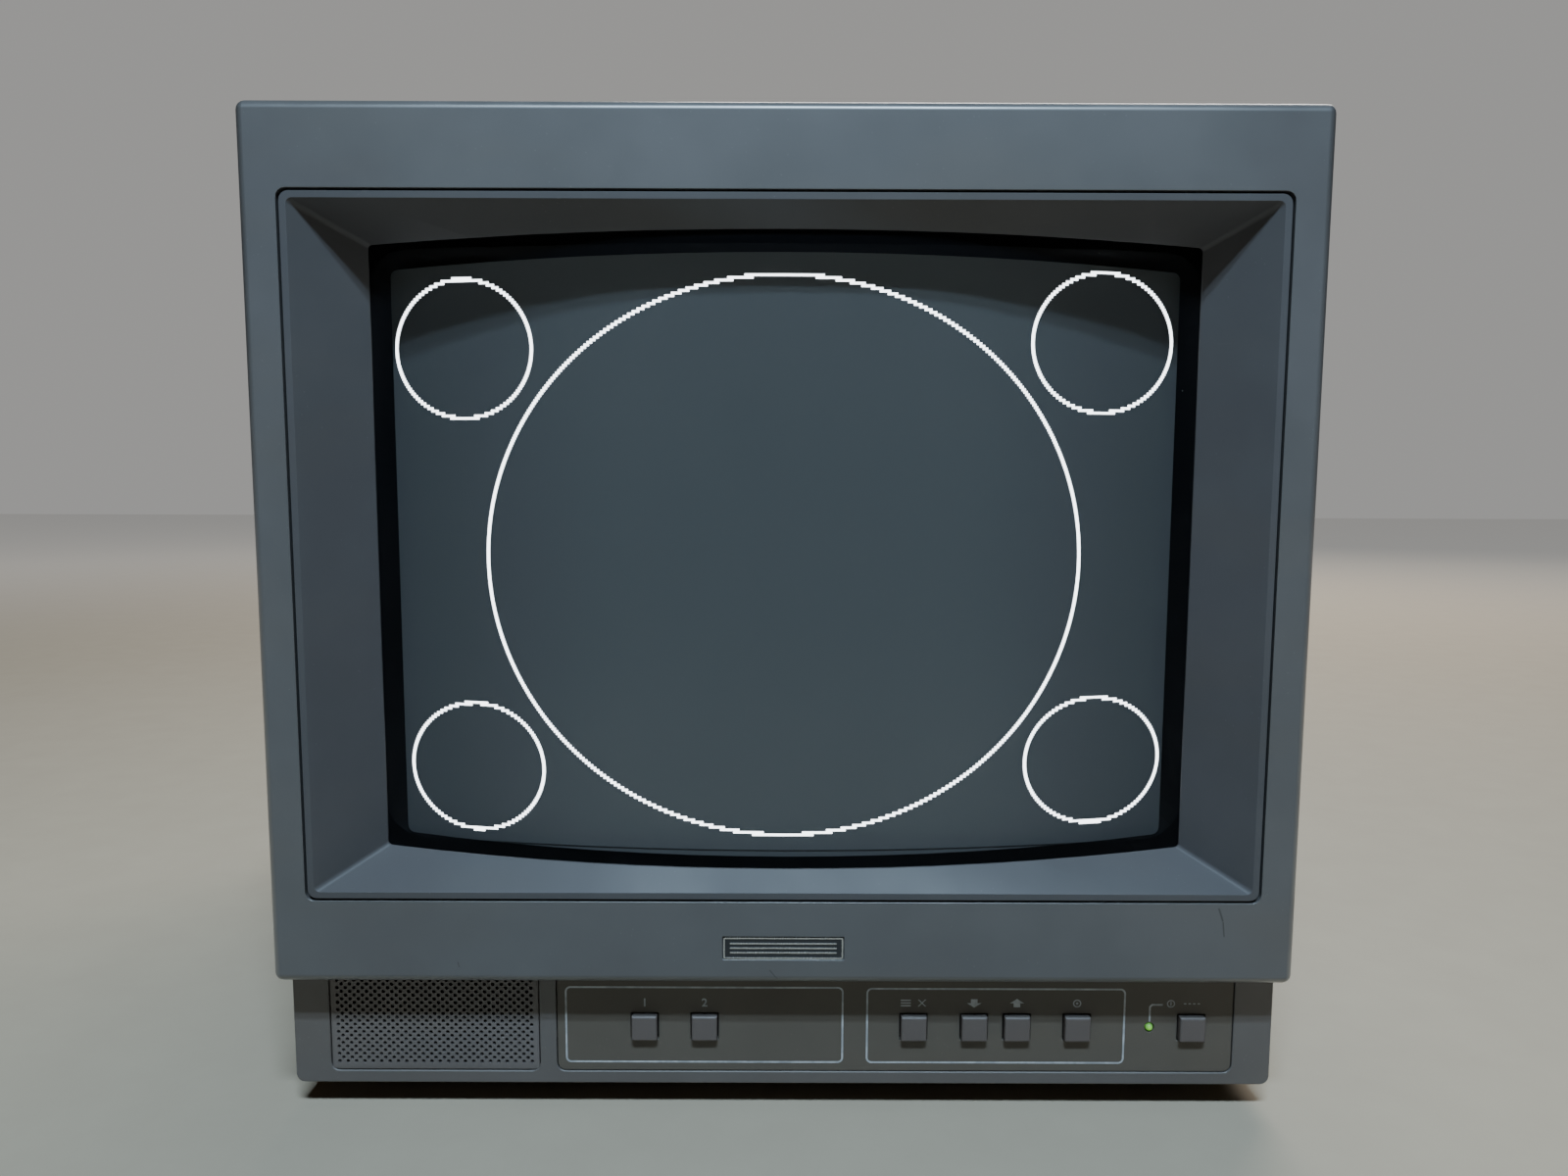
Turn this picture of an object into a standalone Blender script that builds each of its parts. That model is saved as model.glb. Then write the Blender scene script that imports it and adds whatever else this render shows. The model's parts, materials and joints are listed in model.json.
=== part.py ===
"""A 14-inch studio picture monitor: cabinet, picture tube, boards and controls, each a separate piece.

Metres, +Z up. The front faces -Y and +X is to the viewer's right. The origin is on the table, under the
middle of the monitor.
"""

import math

import bmesh
import bpy
from mathutils import Matrix, Vector

# Overall sizes
WIDTH = 0.346  # across the moulded head
HEIGHT = 0.340  # table to the top of the head
DEPTH = 0.414  # head front to the back of the neck cover

# Clearances
GAP = 0.0003  # between pieces that touch
FIT = 0.0004  # round a piece that slides or turns in another
BITE = 0.0005  # how far joined shapes run into each other

# Head: the moulded frame round the screen
HEAD_BOTTOM = 0.0516  # its underside above the table
HEAD_LENGTH = 0.062
HEAD_WALL = 0.003
HEAD_CORNER = 0.003
HEAD_BEVEL = 0.002
WINDOW_MARGIN_SIDE = 0.0123
WINDOW_MARGIN_TOP = 0.027
WINDOW_MARGIN_BOTTOM = 0.0288
WINDOW_CORNER = 0.003
BOSS_RADIUS = 0.005
BOSS_OUT = 0.011  # tube screw bosses, above and below the window
BOSS_IN = 0.006  # and inside its side edges

# Badge: a blank plate in a pocket below the screen
PLATE_WIDTH = 0.0405
PLATE_HEIGHT = 0.0075
PLATE_THICKNESS = 0.0006
PLATE_CENTRE_BELOW_WINDOW = 0.0161

# Screen mask: the separate inner frame that slopes down to the glass
MASK_GROOVE = 0.0009  # the dark line round it
MASK_RIM = 0.0022
MASK_WALL = 0.0025
MASK_LENGTH = 0.008
MASK_LIP = 0.0008
OPENING_MARGIN_SIDE = 0.0217
OPENING_MARGIN_TOP = 0.0142
OPENING_MARGIN_BOTTOM = 0.0128
OPENING_CORNER = 0.0015
OPENING_BOW = 0.003  # how far its long edges bow out in the middle

# Picture tube
FACE_RECESS = 0.006  # glass behind the head front, at the middle
FACE_RADIUS = 0.650
FACE_THICKNESS = 0.011
INNER_FACE_RADIUS = 0.600
PANEL_CLEARANCE_SIDE = 0.0045
PANEL_CLEARANCE_TOP = 0.0008
PANEL_LENGTH = 0.069  # from the middle of the face to the seal with the funnel
PANEL_WALL = 0.008
PANEL_CORNER = 0.022
PHOSPHOR_BORDER_SIDE = 0.0030  # black glass inside the mask's opening
PHOSPHOR_BORDER_TOP = 0.0002
PHOSPHOR_THICKNESS = 0.0004
PHOSPHOR_CORNER = 0.0025
GRILLE_SPACING = 0.012  # phosphor to the aperture grille
GRILLE_MARGIN = 0.008  # aperture grille frame inside the panel skirt
GRILLE_WALL = 0.003
FUNNEL_WALL = 0.003
NECK_RADIUS = 0.0145
NECK_WALL = 0.0015
NECK_LENGTH = 0.120
GUN_LENGTH = 0.075
BAND_THICKNESS = 0.0012
BAND_WIDTH = 0.022
LUG_THICKNESS = 0.0015
DEGAUSS_RADIUS = 0.004
COIL_BEHIND_SEAL = 0.015
SCREW_RADIUS = 0.002
SCREW_LENGTH = 0.016

# Yoke and neck fittings
YOKE_COVER = 0.30  # share of the funnel, at its slim end, that the yoke covers
YOKE_BACK = 0.025  # behind it
COIL_THICKNESS = 0.009
CORE_THICKNESS = 0.008
RING_RADIUS = 0.022
RING_THICKNESS = 0.0025
RING_PITCH = 0.0045
SOCKET_RADIUS = 0.018
SOCKET_LENGTH = 0.010
NECK_BOARD_SIZE = 0.086
TAIL_ROOM = 0.0565  # from the neck board to the back of the neck cover

# Base front: the set-back strip below the head
BASE_SETBACK = 0.012
BASE_INSET = 0.0015  # each side
BASE_CORNER = 0.003
BASE_PLATE = 0.005
BASE_WALL = 0.0025
POCKET_DEPTH = 0.0032
POCKET_LEDGE = 0.002
FOOT_HEIGHT = 0.0095
GRILLE_MARGIN_LEFT = 0.0125
GRILLE_WIDTH = 0.0736
INSERT_POST = 0.0059  # base moulding between the two inserts
PANEL_MARGIN_RIGHT = 0.0134
INSERT_RAIL = 0.0044  # base moulding left below the inserts
INSERT_THICKNESS = 0.0026
INSERT_CORNER = 0.003

# Controls
BUTTON_SIZE = 0.009
BUTTON_PROUD = 0.0025
BUTTON_FLANGE = 0.0012  # wider than the hole on each side
BUTTON_FLANGE_THICKNESS = 0.0012
BUTTON_LENGTH = 0.0125
BUTTON_EDGE = 0.0005
BUTTON_TRAVEL = 0.0012
POWER_TRAVEL = 0.003
BUTTON_ROW = 0.0305
INPUT_PLACES = {"button_input_a": 0.0310, "button_input_b": 0.0520}  # from the panel's left edge
MENU_PLACES = {  # from its right edge
    "button_menu": 0.1123,
    "button_down": 0.0911,
    "button_up": 0.0761,
    "button_enter": 0.0550,
}
POWER_FROM_RIGHT = 0.0148
LED_FROM_RIGHT = 0.0294
LED_RADIUS = 0.00135
BOARD_THICKNESS = 0.0016
SWITCH_SIZE = 0.006

# Cabinet behind the head
COVER_INSET = 0.0025
COVER_THICKNESS = 0.0012
COVER_EDGE = 0.014  # its lower edge above the table
COVER_CORNER = 0.006
NECK_COVER_DEPTH = 0.045
NECK_COVER_WIDTH = 0.156
NECK_COVER_HEIGHT = 0.150
NECK_COVER_WALL = 0.0025
NECK_COVER_TAPER = 0.008
REAR_SHEET = 0.0015
REAR_RECESS = 0.0025
TRAY_SHEET = 0.0015
TRAY_FLANGE = 0.020
SLOT_WIDTH = 0.003
SLOT_PITCH = 0.0095
TOP_SLOTS = 13
TOP_SLOT_LENGTH = 0.085
SIDE_SLOTS = 12
SIDE_SLOT_LENGTH = 0.040
RACK_HOLE_RADIUS = 0.0022
RACK_HOLE_SPACING_Y = 0.120
RACK_HOLE_SPACING_Z = 0.076
FOOT_RADIUS = 0.013
FOOT_INSET_X = 0.033
FOOT_INSET_FRONT = 0.042
FOOT_INSET_REAR = 0.030

# Boards and rear connectors
BOARD_LIFT = 0.0085  # above the tray
BNC_SPACING = 0.024
BNC_BELOW_COVER = 0.036
BNC_RADIUS = 0.0048
BNC_FLANGE = 0.0075
BNC_PROUD = 0.012
JACK_RADIUS = 0.0042
INLET_WIDTH = 0.0270
INLET_HEIGHT = 0.0200
INLET_WALL = 0.0015
INLET_DEPTH = 0.018
INLET_FLANGE = 0.003
PIN_WIDTH = 0.002

# How finely round shapes are stepped
CORNER_STEPS = 4
ROUND_STEPS = 24
SMALL_STEPS = 12
SCREEN_STEPS = 16

# Planes and lines that several pieces share
FRONT = -DEPTH / 2
BACK = DEPTH / 2
HEAD_BACK = FRONT + HEAD_LENGTH
WINDOW_HALF = WIDTH / 2 - WINDOW_MARGIN_SIDE
WINDOW_LOW = HEAD_BOTTOM + WINDOW_MARGIN_BOTTOM
WINDOW_HIGH = HEIGHT - WINDOW_MARGIN_TOP
MASK_HALF = WINDOW_HALF - MASK_GROOVE
MASK_LOW = WINDOW_LOW + MASK_GROOVE
MASK_HIGH = WINDOW_HIGH - MASK_GROOVE
OPENING_HALF = WINDOW_HALF - OPENING_MARGIN_SIDE
OPENING_LOW = WINDOW_LOW + OPENING_MARGIN_BOTTOM
OPENING_HIGH = WINDOW_HIGH - OPENING_MARGIN_TOP
AXIS_Z = (OPENING_LOW + OPENING_HIGH) / 2
PANEL_HALF = MASK_HALF - MASK_WALL - PANEL_CLEARANCE_SIDE
PANEL_TALL = min(MASK_HIGH - AXIS_Z, AXIS_Z - MASK_LOW) - MASK_WALL - PANEL_CLEARANCE_TOP
FACE_FRONT = FRONT + FACE_RECESS
PHOSPHOR_HALF = OPENING_HALF - PHOSPHOR_BORDER_SIDE
PHOSPHOR_TALL = (OPENING_HIGH - OPENING_LOW) / 2 - PHOSPHOR_BORDER_TOP
PANEL_BACK = FACE_FRONT + PANEL_LENGTH
NECK_BACK = BACK - TAIL_ROOM - BOARD_THICKNESS - SOCKET_LENGTH - 2 * GAP
NECK_FRONT = NECK_BACK - NECK_LENGTH
FUNNEL_LENGTH = NECK_FRONT - PANEL_BACK - GAP
BASE_FRONT = FRONT + BASE_SETBACK
BASE_HALF = WIDTH / 2 - BASE_INSET
BASE_TOP = HEAD_BOTTOM - GAP
GRILLE_LEFT = GRILLE_MARGIN_LEFT - BASE_HALF
GRILLE_RIGHT = GRILLE_LEFT + GRILLE_WIDTH
PANEL_LEFT = GRILLE_RIGHT + INSERT_POST
PANEL_RIGHT = BASE_HALF - PANEL_MARGIN_RIGHT
BUTTON_PLACES = {name: PANEL_LEFT + offset for name, offset in INPUT_PLACES.items()}
BUTTON_PLACES.update({name: PANEL_RIGHT - offset for name, offset in MENU_PLACES.items()})
POWER_PLACE = PANEL_RIGHT - POWER_FROM_RIGHT
LED_PLACE = PANEL_RIGHT - LED_FROM_RIGHT
INSERT_LOW = FOOT_HEIGHT + INSERT_RAIL
INSERT_FACE = BASE_FRONT + GAP
INSERT_BACK = INSERT_FACE + INSERT_THICKNESS
COVER_HALF = WIDTH / 2 - COVER_INSET
COVER_TOP = HEIGHT - COVER_INSET
COVER_BACK = BACK - NECK_COVER_DEPTH
REAR_BACK = COVER_BACK - REAR_RECESS
REAR_FRONT = REAR_BACK - REAR_SHEET
INSIDE_HALF = COVER_HALF - COVER_THICKNESS - GAP
INSIDE_TOP = COVER_TOP - COVER_THICKNESS - GAP
TRAY_TOP = FOOT_HEIGHT + TRAY_SHEET
BNC_ROW = AXIS_Z - NECK_COVER_HEIGHT / 2 - BNC_BELOW_COVER
BOARD_LOW = TRAY_TOP + BOARD_LIFT
BOARD_TOP = BOARD_LOW + BOARD_THICKNESS

# Looks: colour, roughness, metallic
GREY_MOULDING = ((0.105, 0.125, 0.155), 0.55, 0.0)
MASK_MOULDING = ((0.080, 0.097, 0.120), 0.50, 0.0)
PANEL_MOULDING = ((0.055, 0.056, 0.054), 0.55, 0.0)
BUTTON_PLASTIC = ((0.090, 0.092, 0.100), 0.45, 0.0)
GREEN_LENS = ((0.150, 0.420, 0.090), 0.25, 0.0)
SILVER = ((0.520, 0.530, 0.550), 0.35, 0.9)
PAINTED_STEEL = ((0.095, 0.112, 0.138), 0.60, 0.2)
ZINC_STEEL = ((0.480, 0.480, 0.470), 0.40, 0.9)
BLACK_PLASTIC = ((0.015, 0.015, 0.016), 0.55, 0.0)
RUBBER = ((0.020, 0.020, 0.020), 0.90, 0.0)
SCREEN_GLASS = ((0.050, 0.055, 0.060), 0.05, 0.0)
CLEAR_GLASS = ((0.420, 0.450, 0.440), 0.10, 0.0)
GRAPHITE = ((0.020, 0.020, 0.022), 0.80, 0.0)
PHOSPHOR = ((0.055, 0.072, 0.090), 0.70, 0.0)
COPPER = ((0.420, 0.150, 0.050), 0.40, 0.6)
FERRITE = ((0.045, 0.043, 0.045), 0.70, 0.0)
CIRCUIT_BOARD = ((0.060, 0.130, 0.060), 0.60, 0.0)
RED_RUBBER = ((0.300, 0.040, 0.030), 0.70, 0.0)
ALUMINIUM = ((0.600, 0.600, 0.610), 0.35, 0.9)
NICKEL = ((0.560, 0.540, 0.500), 0.30, 1.0)
WHITE_PLASTIC = ((0.600, 0.600, 0.570), 0.50, 0.0)


def clear_scene():
    for old in list(bpy.data.objects):
        bpy.data.objects.remove(old, do_unlink=True)


# Objects


def dress(obj, look):
    """Gives the object its own material."""
    colour, roughness, metallic = look
    material = bpy.data.materials.new(obj.name)
    material.use_nodes = True
    shader = material.node_tree.nodes["Principled BSDF"]
    shader.inputs["Base Color"].default_value = (*colour, 1.0)
    shader.inputs["Roughness"].default_value = roughness
    shader.inputs["Metallic"].default_value = metallic
    obj.data.materials.append(material)


def build(name, shape, look=None, place=(0.0, 0.0, 0.0), smooth=False):
    """An object of a shape, which is its points and faces. One without a look is a cutter or a joined shape."""
    points, faces = shape
    mesh = bpy.data.meshes.new(name)
    work = bmesh.new()
    corners = [work.verts.new(point) for point in points]
    for face in faces:
        work.faces.new([corners[i] for i in face])
    bmesh.ops.recalc_face_normals(work, faces=work.faces)
    work.to_mesh(mesh)
    work.free()
    obj = bpy.data.objects.new(name, mesh)
    bpy.context.scene.collection.objects.link(obj)
    obj.location = place
    if smooth:
        mesh.shade_smooth()
        mesh.set_sharp_from_angle(angle=math.radians(35))
    if look:
        dress(obj, look)
    return obj


def combine(body, shape, operation, suffix):
    """Cuts a shape out of the body, or joins it on, with a Boolean whose other operand stays hidden."""
    tool = build(f"{body.name}_{suffix}", shape)
    tool.hide_render = True
    tool.display_type = "WIRE"
    modifier = body.modifiers.new(suffix, "BOOLEAN")
    modifier.operation = operation
    modifier.solver = "EXACT"
    modifier.object = tool


def cut(body, shape, suffix="cut"):
    combine(body, shape, "DIFFERENCE", suffix)


def join(body, shape, suffix="joined"):
    combine(body, shape, "UNION", suffix)


# Shapes: each is a list of points and a list of faces


def blocks(*boxes):
    """Separate boxes, each given as (x0, x1, y0, y1, z0, z1)."""
    points = []
    faces = []
    for x0, x1, y0, y1, z0, z1 in boxes:
        base = len(points)
        points += [(x, y, z) for x in (x0, x1) for y in (y0, y1) for z in (z0, z1)]
        for face in ((0, 1, 3, 2), (4, 6, 7, 5), (0, 4, 5, 1), (2, 3, 7, 6), (0, 2, 6, 4), (1, 5, 7, 3)):
            faces.append([base + i for i in face])
    return points, faces


def centred(x, z, width, height, y0, y1):
    """A box by the middle of its front, its width and height, and its two depths."""
    return (x - width / 2, x + width / 2, y0, y1, z - height / 2, z + height / 2)


def several(shapes):
    """Shapes that don't touch, as one."""
    points = []
    faces = []
    for some_points, some_faces in shapes:
        base = len(points)
        points += some_points
        faces += [[base + i for i in face] for face in some_faces]
    return points, faces


def loft(rings, looped=False, strips=False):
    """Rings joined in order: the last back to the first, or both ends closed.

    strips closes an end by quads between its top row and its bottom row, which a bent end needs.
    """
    count = len(rings[0])
    points = [point for ring in rings for point in ring]
    faces = []
    for j in range(len(rings) if looped else len(rings) - 1):
        a = j * count
        b = (j + 1) % len(rings) * count
        for i in range(count):
            n = (i + 1) % count
            faces.append((a + i, a + n, b + n, b + i))
    if looped:
        return points, faces
    for start in (0, (len(rings) - 1) * count):
        if strips:
            for j in range(count // 2 - 1):
                low = count - 1 - j
                faces.append((start + j, start + j + 1, start + low - 1, start + low))
        else:
            faces.append(tuple(range(start, start + count)))
    return points, faces


def outline(half, low, high, radius, steps=CORNER_STEPS, middle=0.0):
    """Round-cornered rectangle as (x, z) points, counter-clockwise from the middle of the lower right corner."""
    found = []
    corners = (
        (middle + half - radius, low + radius, -90),
        (middle + half - radius, high - radius, 0),
        (middle - half + radius, high - radius, 90),
        (middle - half + radius, low + radius, 180),
    )
    for x, z, start in corners:
        for step in range(steps + 1):
            angle = math.radians(start + 90 * step / steps)
            found.append((x + radius * math.cos(angle), z + radius * math.sin(angle)))
    return found


def at(y, flat):
    return [(x, y, z) for x, z in flat]


def bar(y0, y1, flat):
    """An upright outline carried from one depth to another."""
    return loft([at(y0, flat), at(y1, flat)])


def bowed_ring(half, low, high, radius, depth, bow=0.0):
    """Top row left to right, then bottom row back, round a round-cornered rectangle with bowed long edges.

    depth(x) gives each point's y. Every such ring has the same number of points.
    """
    straight = half - radius
    turns = [math.radians(90 * i / CORNER_STEPS) for i in range(CORNER_STEPS + 1)]
    left = [-straight - radius * math.cos(turn) for turn in turns]
    between = [-straight + 2 * straight * i / SCREEN_STEPS for i in range(1, SCREEN_STEPS)]
    columns = left + between + [-x for x in reversed(left)]
    top = []
    bottom = []
    for x in columns:
        past = max(0.0, abs(x) - straight)
        drop = radius - math.sqrt(max(0.0, radius**2 - past**2))
        swell = bow * (1 - (x / half) ** 2)
        top.append((x, depth(x), high - drop + swell))
        bottom.append((x, depth(x), low + drop - swell))
    return top + bottom[::-1]


def turned(profile, steps=ROUND_STEPS, axis="Y"):
    """(radius, distance) pairs spun round an axis. A profile that starts and ends on the axis is a solid,
    and any other is a ring, whose last point joins its first."""
    across = {
        "X": lambda r, d, c, s: (d, r * c, r * s),
        "Y": lambda r, d, c, s: (r * s, d, r * c),
        "Z": lambda r, d, c, s: (r * c, r * s, d),
    }[axis]
    turns = [2 * math.pi * i / steps for i in range(steps)]
    points = []
    rows = []
    for radius, distance in profile:
        start = len(points)
        if radius == 0:
            points.append(across(0.0, distance, 1.0, 0.0))
            rows.append([start] * steps)
        else:
            points += [across(radius, distance, math.cos(turn), math.sin(turn)) for turn in turns]
            rows.append(list(range(start, start + steps)))
    if profile[0][0] > 0:
        rows.append(rows[0])
    faces = []
    for a, b in zip(rows, rows[1:]):
        for i in range(steps):
            n = (i + 1) % steps
            face = (a[i], a[n], b[n], b[i])
            faces.append(tuple(dict.fromkeys(face)))
    return points, faces


def moved(shape, x=0.0, y=0.0, z=0.0):
    points, faces = shape
    return [(px + x, py + y, pz + z) for px, py, pz in points], faces


def rod(radius, start, end, steps=SMALL_STEPS, axis="Y"):
    return turned([(0, start), (radius, start), (radius, end), (0, end)], steps, axis)


def bundle(path, radius, steps=8):
    """A round cord along a closed path in an upright plane."""
    rings = []
    for i, point in enumerate(path):
        ahead = Vector(path[(i + 1) % len(path)]) - Vector(path[i - 1])
        inward = Vector((0, 1, 0)).cross(ahead).normalized()
        ring = []
        for step in range(steps):
            angle = 2 * math.pi * step / steps
            offset = inward * (radius * math.cos(angle)) + Vector((0, radius * math.sin(angle), 0))
            ring.append(tuple(Vector(point) + offset))
        rings.append(ring)
    return loft(rings, looped=True)


# Curved surfaces of the tube


def sag(x, radius):
    """How far a cylinder of this radius falls back at x from its middle."""
    return radius - math.sqrt(radius**2 - x**2)


def face_y(x):
    return FACE_FRONT + sag(x, FACE_RADIUS)


def inner_face_y(x):
    return FACE_FRONT + FACE_THICKNESS + sag(x, INNER_FACE_RADIUS)


def phosphor_back_y(x):
    return inner_face_y(x) + GAP + PHOSPHOR_THICKNESS


def mix(a, b, share):
    return a + (b - a) * share


def funnel_shrink(t):
    """0 at the panel and 1 at the neck: flares away from the neck and rounds over near the panel."""
    return 0.5 * t + 0.5 * (3 * t * t - 2 * t**3)


def funnel_outline(t, inset=0.0):
    shrink = funnel_shrink(t)
    half = mix(PANEL_HALF, NECK_RADIUS, shrink)
    tall = mix(PANEL_TALL, NECK_RADIUS, shrink)
    roundness = min(1.0, 1.25 * t)
    radius = mix(PANEL_CORNER, min(half, tall), roundness * roundness * (3 - 2 * roundness))
    radius = min(radius, tall)
    return outline(half - inset, AXIS_Z - tall + inset, AXIS_Z + tall - inset, radius - inset, 6)


def funnel_y(t):
    return PANEL_BACK + GAP + FUNNEL_LENGTH * t


def tube_reach(y):
    """The furthest that the funnel or the neck stands from the tube's axis at this depth."""
    t = min(1.0, max(0.0, (y - PANEL_BACK - GAP) / FUNNEL_LENGTH))
    return max(math.hypot(x, z - AXIS_Z) for x, z in funnel_outline(t))


# Head


def bosses():
    places = []
    for x in (-1, 1):
        for z in (WINDOW_LOW - BOSS_OUT, WINDOW_HIGH + BOSS_OUT):
            places.append((x * (WINDOW_HALF - BOSS_IN), z))
    return places


def lug_front():
    return FACE_FRONT + PANEL_LENGTH * 0.62


def front_bezel():
    half = WIDTH / 2
    inside = half - HEAD_WALL
    window = outline(WINDOW_HALF, WINDOW_LOW, WINDOW_HIGH, WINDOW_CORNER)
    slim = outline(half - HEAD_BEVEL, HEAD_BOTTOM + HEAD_BEVEL, HEIGHT - HEAD_BEVEL, HEAD_CORNER - HEAD_BEVEL)
    full = outline(half, HEAD_BOTTOM, HEIGHT, HEAD_CORNER)
    hollow = outline(inside, HEAD_BOTTOM + HEAD_WALL, HEIGHT - HEAD_WALL, HEAD_CORNER / 2)
    rings = [
        at(FRONT, slim),
        at(FRONT + HEAD_BEVEL, full),
        at(HEAD_BACK, full),
        at(HEAD_BACK, hollow),
        at(FRONT + HEAD_WALL, hollow),
        at(FRONT + HEAD_WALL, window),
        at(FRONT, window),
    ]
    body = build("front_bezel", loft(rings, looped=True), GREY_MOULDING)
    start = FRONT + HEAD_WALL - BITE
    end = lug_front() - GAP
    posts = [moved(rod(BOSS_RADIUS, start, end), x, 0, z) for x, z in bosses()]
    join(body, several(posts), "bosses")
    bore = SCREW_RADIUS + FIT
    holes = [moved(rod(bore, FRONT + HEAD_WALL + BITE, end + BITE, 8), x, 0, z) for x, z in bosses()]
    cut(body, several(holes), "boss_holes")
    room = PLATE_THICKNESS + GAP
    pocket = centred(0, plate_z(), PLATE_WIDTH + 2 * GAP, PLATE_HEIGHT + 2 * GAP, FRONT - BITE, FRONT + room)
    cut(body, blocks(pocket), "plate_pocket")


def plate_z():
    return WINDOW_LOW - PLATE_CENTRE_BELOW_WINDOW


def name_plate():
    box = centred(0, plate_z(), PLATE_WIDTH, PLATE_HEIGHT, FRONT, FRONT + PLATE_THICKNESS)
    build("name_plate", blocks(box), SILVER)


def screen_mask():
    def flat(y):
        return lambda x: y

    def lip(back):
        return lambda x: face_y(x) - GAP - back

    rim_half = MASK_HALF - MASK_RIM
    wall_half = MASK_HALF - MASK_WALL
    outer = (MASK_HALF, MASK_LOW, MASK_HIGH, WINDOW_CORNER)
    rim = (rim_half, MASK_LOW + MASK_RIM, MASK_HIGH - MASK_RIM, WINDOW_CORNER - MASK_RIM / 2)
    wall = (wall_half, MASK_LOW + MASK_WALL, MASK_HIGH - MASK_WALL, WINDOW_CORNER - MASK_WALL / 2)
    edge = (OPENING_HALF, OPENING_LOW, OPENING_HIGH, OPENING_CORNER)
    rings = [
        bowed_ring(*outer, flat(FRONT + MASK_LENGTH)),
        bowed_ring(*outer, flat(FRONT)),
        bowed_ring(*rim, flat(FRONT)),
        bowed_ring(*edge, lip(MASK_LIP), OPENING_BOW),
        bowed_ring(*edge, lip(0.0), OPENING_BOW),
        bowed_ring(*wall, flat(FRONT + MASK_WALL)),
        bowed_ring(*wall, flat(FRONT + MASK_LENGTH)),
    ]
    build("screen_mask", loft(rings, looped=True), MASK_MOULDING)


# Picture tube


def tray_shape(half, tall, radius, wall, front, back, floor):
    """A shell with a bent floor, open at the back."""
    outer = (half, AXIS_Z - tall, AXIS_Z + tall, radius)
    inner = (half - wall, AXIS_Z - tall + wall, AXIS_Z + tall - wall, radius - wall)
    rings = [
        bowed_ring(*outer, front),
        bowed_ring(*outer, lambda x: back),
        bowed_ring(*inner, lambda x: back),
        bowed_ring(*inner, floor),
    ]
    return loft(rings, strips=True)


def tube_panel():
    shape = tray_shape(PANEL_HALF, PANEL_TALL, PANEL_CORNER, PANEL_WALL, face_y, PANEL_BACK, inner_face_y)
    build("tube_panel", shape, SCREEN_GLASS, smooth=True)


def phosphor_screen():
    size = (PHOSPHOR_HALF, AXIS_Z - PHOSPHOR_TALL, AXIS_Z + PHOSPHOR_TALL, PHOSPHOR_CORNER)
    front = bowed_ring(*size, lambda x: inner_face_y(x) + GAP)
    back = bowed_ring(*size, phosphor_back_y)
    build("phosphor_screen", loft([front, back], strips=True), PHOSPHOR, smooth=True)


def aperture_grille():
    margin = PANEL_WALL + GRILLE_MARGIN
    shape = tray_shape(
        PANEL_HALF - margin,
        PANEL_TALL - margin,
        PANEL_CORNER - PANEL_WALL,
        GRILLE_WALL,
        lambda x: phosphor_back_y(x) + GRILLE_SPACING,
        PANEL_BACK - GAP,
        lambda x: phosphor_back_y(x) + GRILLE_SPACING + GRILLE_WALL / 3,
    )
    build("aperture_grille", shape, ZINC_STEEL, smooth=True)


def tube_funnel():
    stations = [i / 8 for i in range(9)]
    outside = [at(funnel_y(t), funnel_outline(t)) for t in stations]
    inside = [at(funnel_y(t), funnel_outline(t, mix(FUNNEL_WALL, NECK_WALL, t))) for t in reversed(stations)]
    build("tube_funnel", loft(outside + inside, looped=True), GRAPHITE, smooth=True)


def tube_neck():
    start = NECK_FRONT + GAP
    bore = NECK_RADIUS - NECK_WALL
    profile = [
        (0, NECK_BACK),
        (NECK_RADIUS, NECK_BACK),
        (NECK_RADIUS, start),
        (bore, start),
        (bore, NECK_BACK - 2 * NECK_WALL),
        (0, NECK_BACK - 2 * NECK_WALL),
    ]
    build("tube_neck", turned(profile), CLEAR_GLASS, (0, 0, AXIS_Z), smooth=True)


def electron_gun():
    end = NECK_BACK - 2 * NECK_WALL - GAP
    start = end - GUN_LENGTH
    wide = NECK_RADIUS - NECK_WALL - 3 * FIT
    slim = wide * 0.7
    profile = [(0, start), (wide, start)]
    for share in (0.25, 0.45, 0.65):
        y = start + GUN_LENGTH * share
        profile += [(wide, y), (slim, y), (slim, y + GUN_LENGTH * 0.06), (wide, y + GUN_LENGTH * 0.06)]
    profile += [(wide, end), (0, end)]
    build("electron_gun", turned(profile, SMALL_STEPS), NICKEL, (0, 0, AXIS_Z), smooth=True)


def tension_band():
    start = lug_front() - BAND_WIDTH / 2
    end = start + BAND_WIDTH
    grown = GAP + BAND_THICKNESS

    def ring(extra, y):
        low, high = AXIS_Z - PANEL_TALL - extra, AXIS_Z + PANEL_TALL + extra
        return bowed_ring(PANEL_HALF + extra, low, high, PANEL_CORNER + extra, lambda x: y)

    body = build("tension_band", loft([ring(grown, start), ring(grown, end)]), ZINC_STEEL)
    lugs = []
    for x, z in bosses():
        reach = BOSS_RADIUS + BAND_THICKNESS
        inward = AXIS_Z + math.copysign(PANEL_TALL - PANEL_CORNER, z - AXIS_Z)
        outward = z + math.copysign(reach, z - AXIS_Z)
        low, high = sorted((inward, outward))
        lugs.append((x - 2 * reach, x + reach, lug_front(), lug_front() + LUG_THICKNESS, low, high))
    join(body, blocks(*lugs), "lugs")
    cut(body, loft([ring(GAP, start - BITE), ring(GAP, end + BITE)]), "tube_space")
    bore = SCREW_RADIUS + FIT
    holes = [moved(rod(bore, lug_front() - BITE, lug_front() + 2 * BITE + LUG_THICKNESS, 8), x, 0, z) for x, z in bosses()]
    cut(body, several(holes), "lug_holes")


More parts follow.
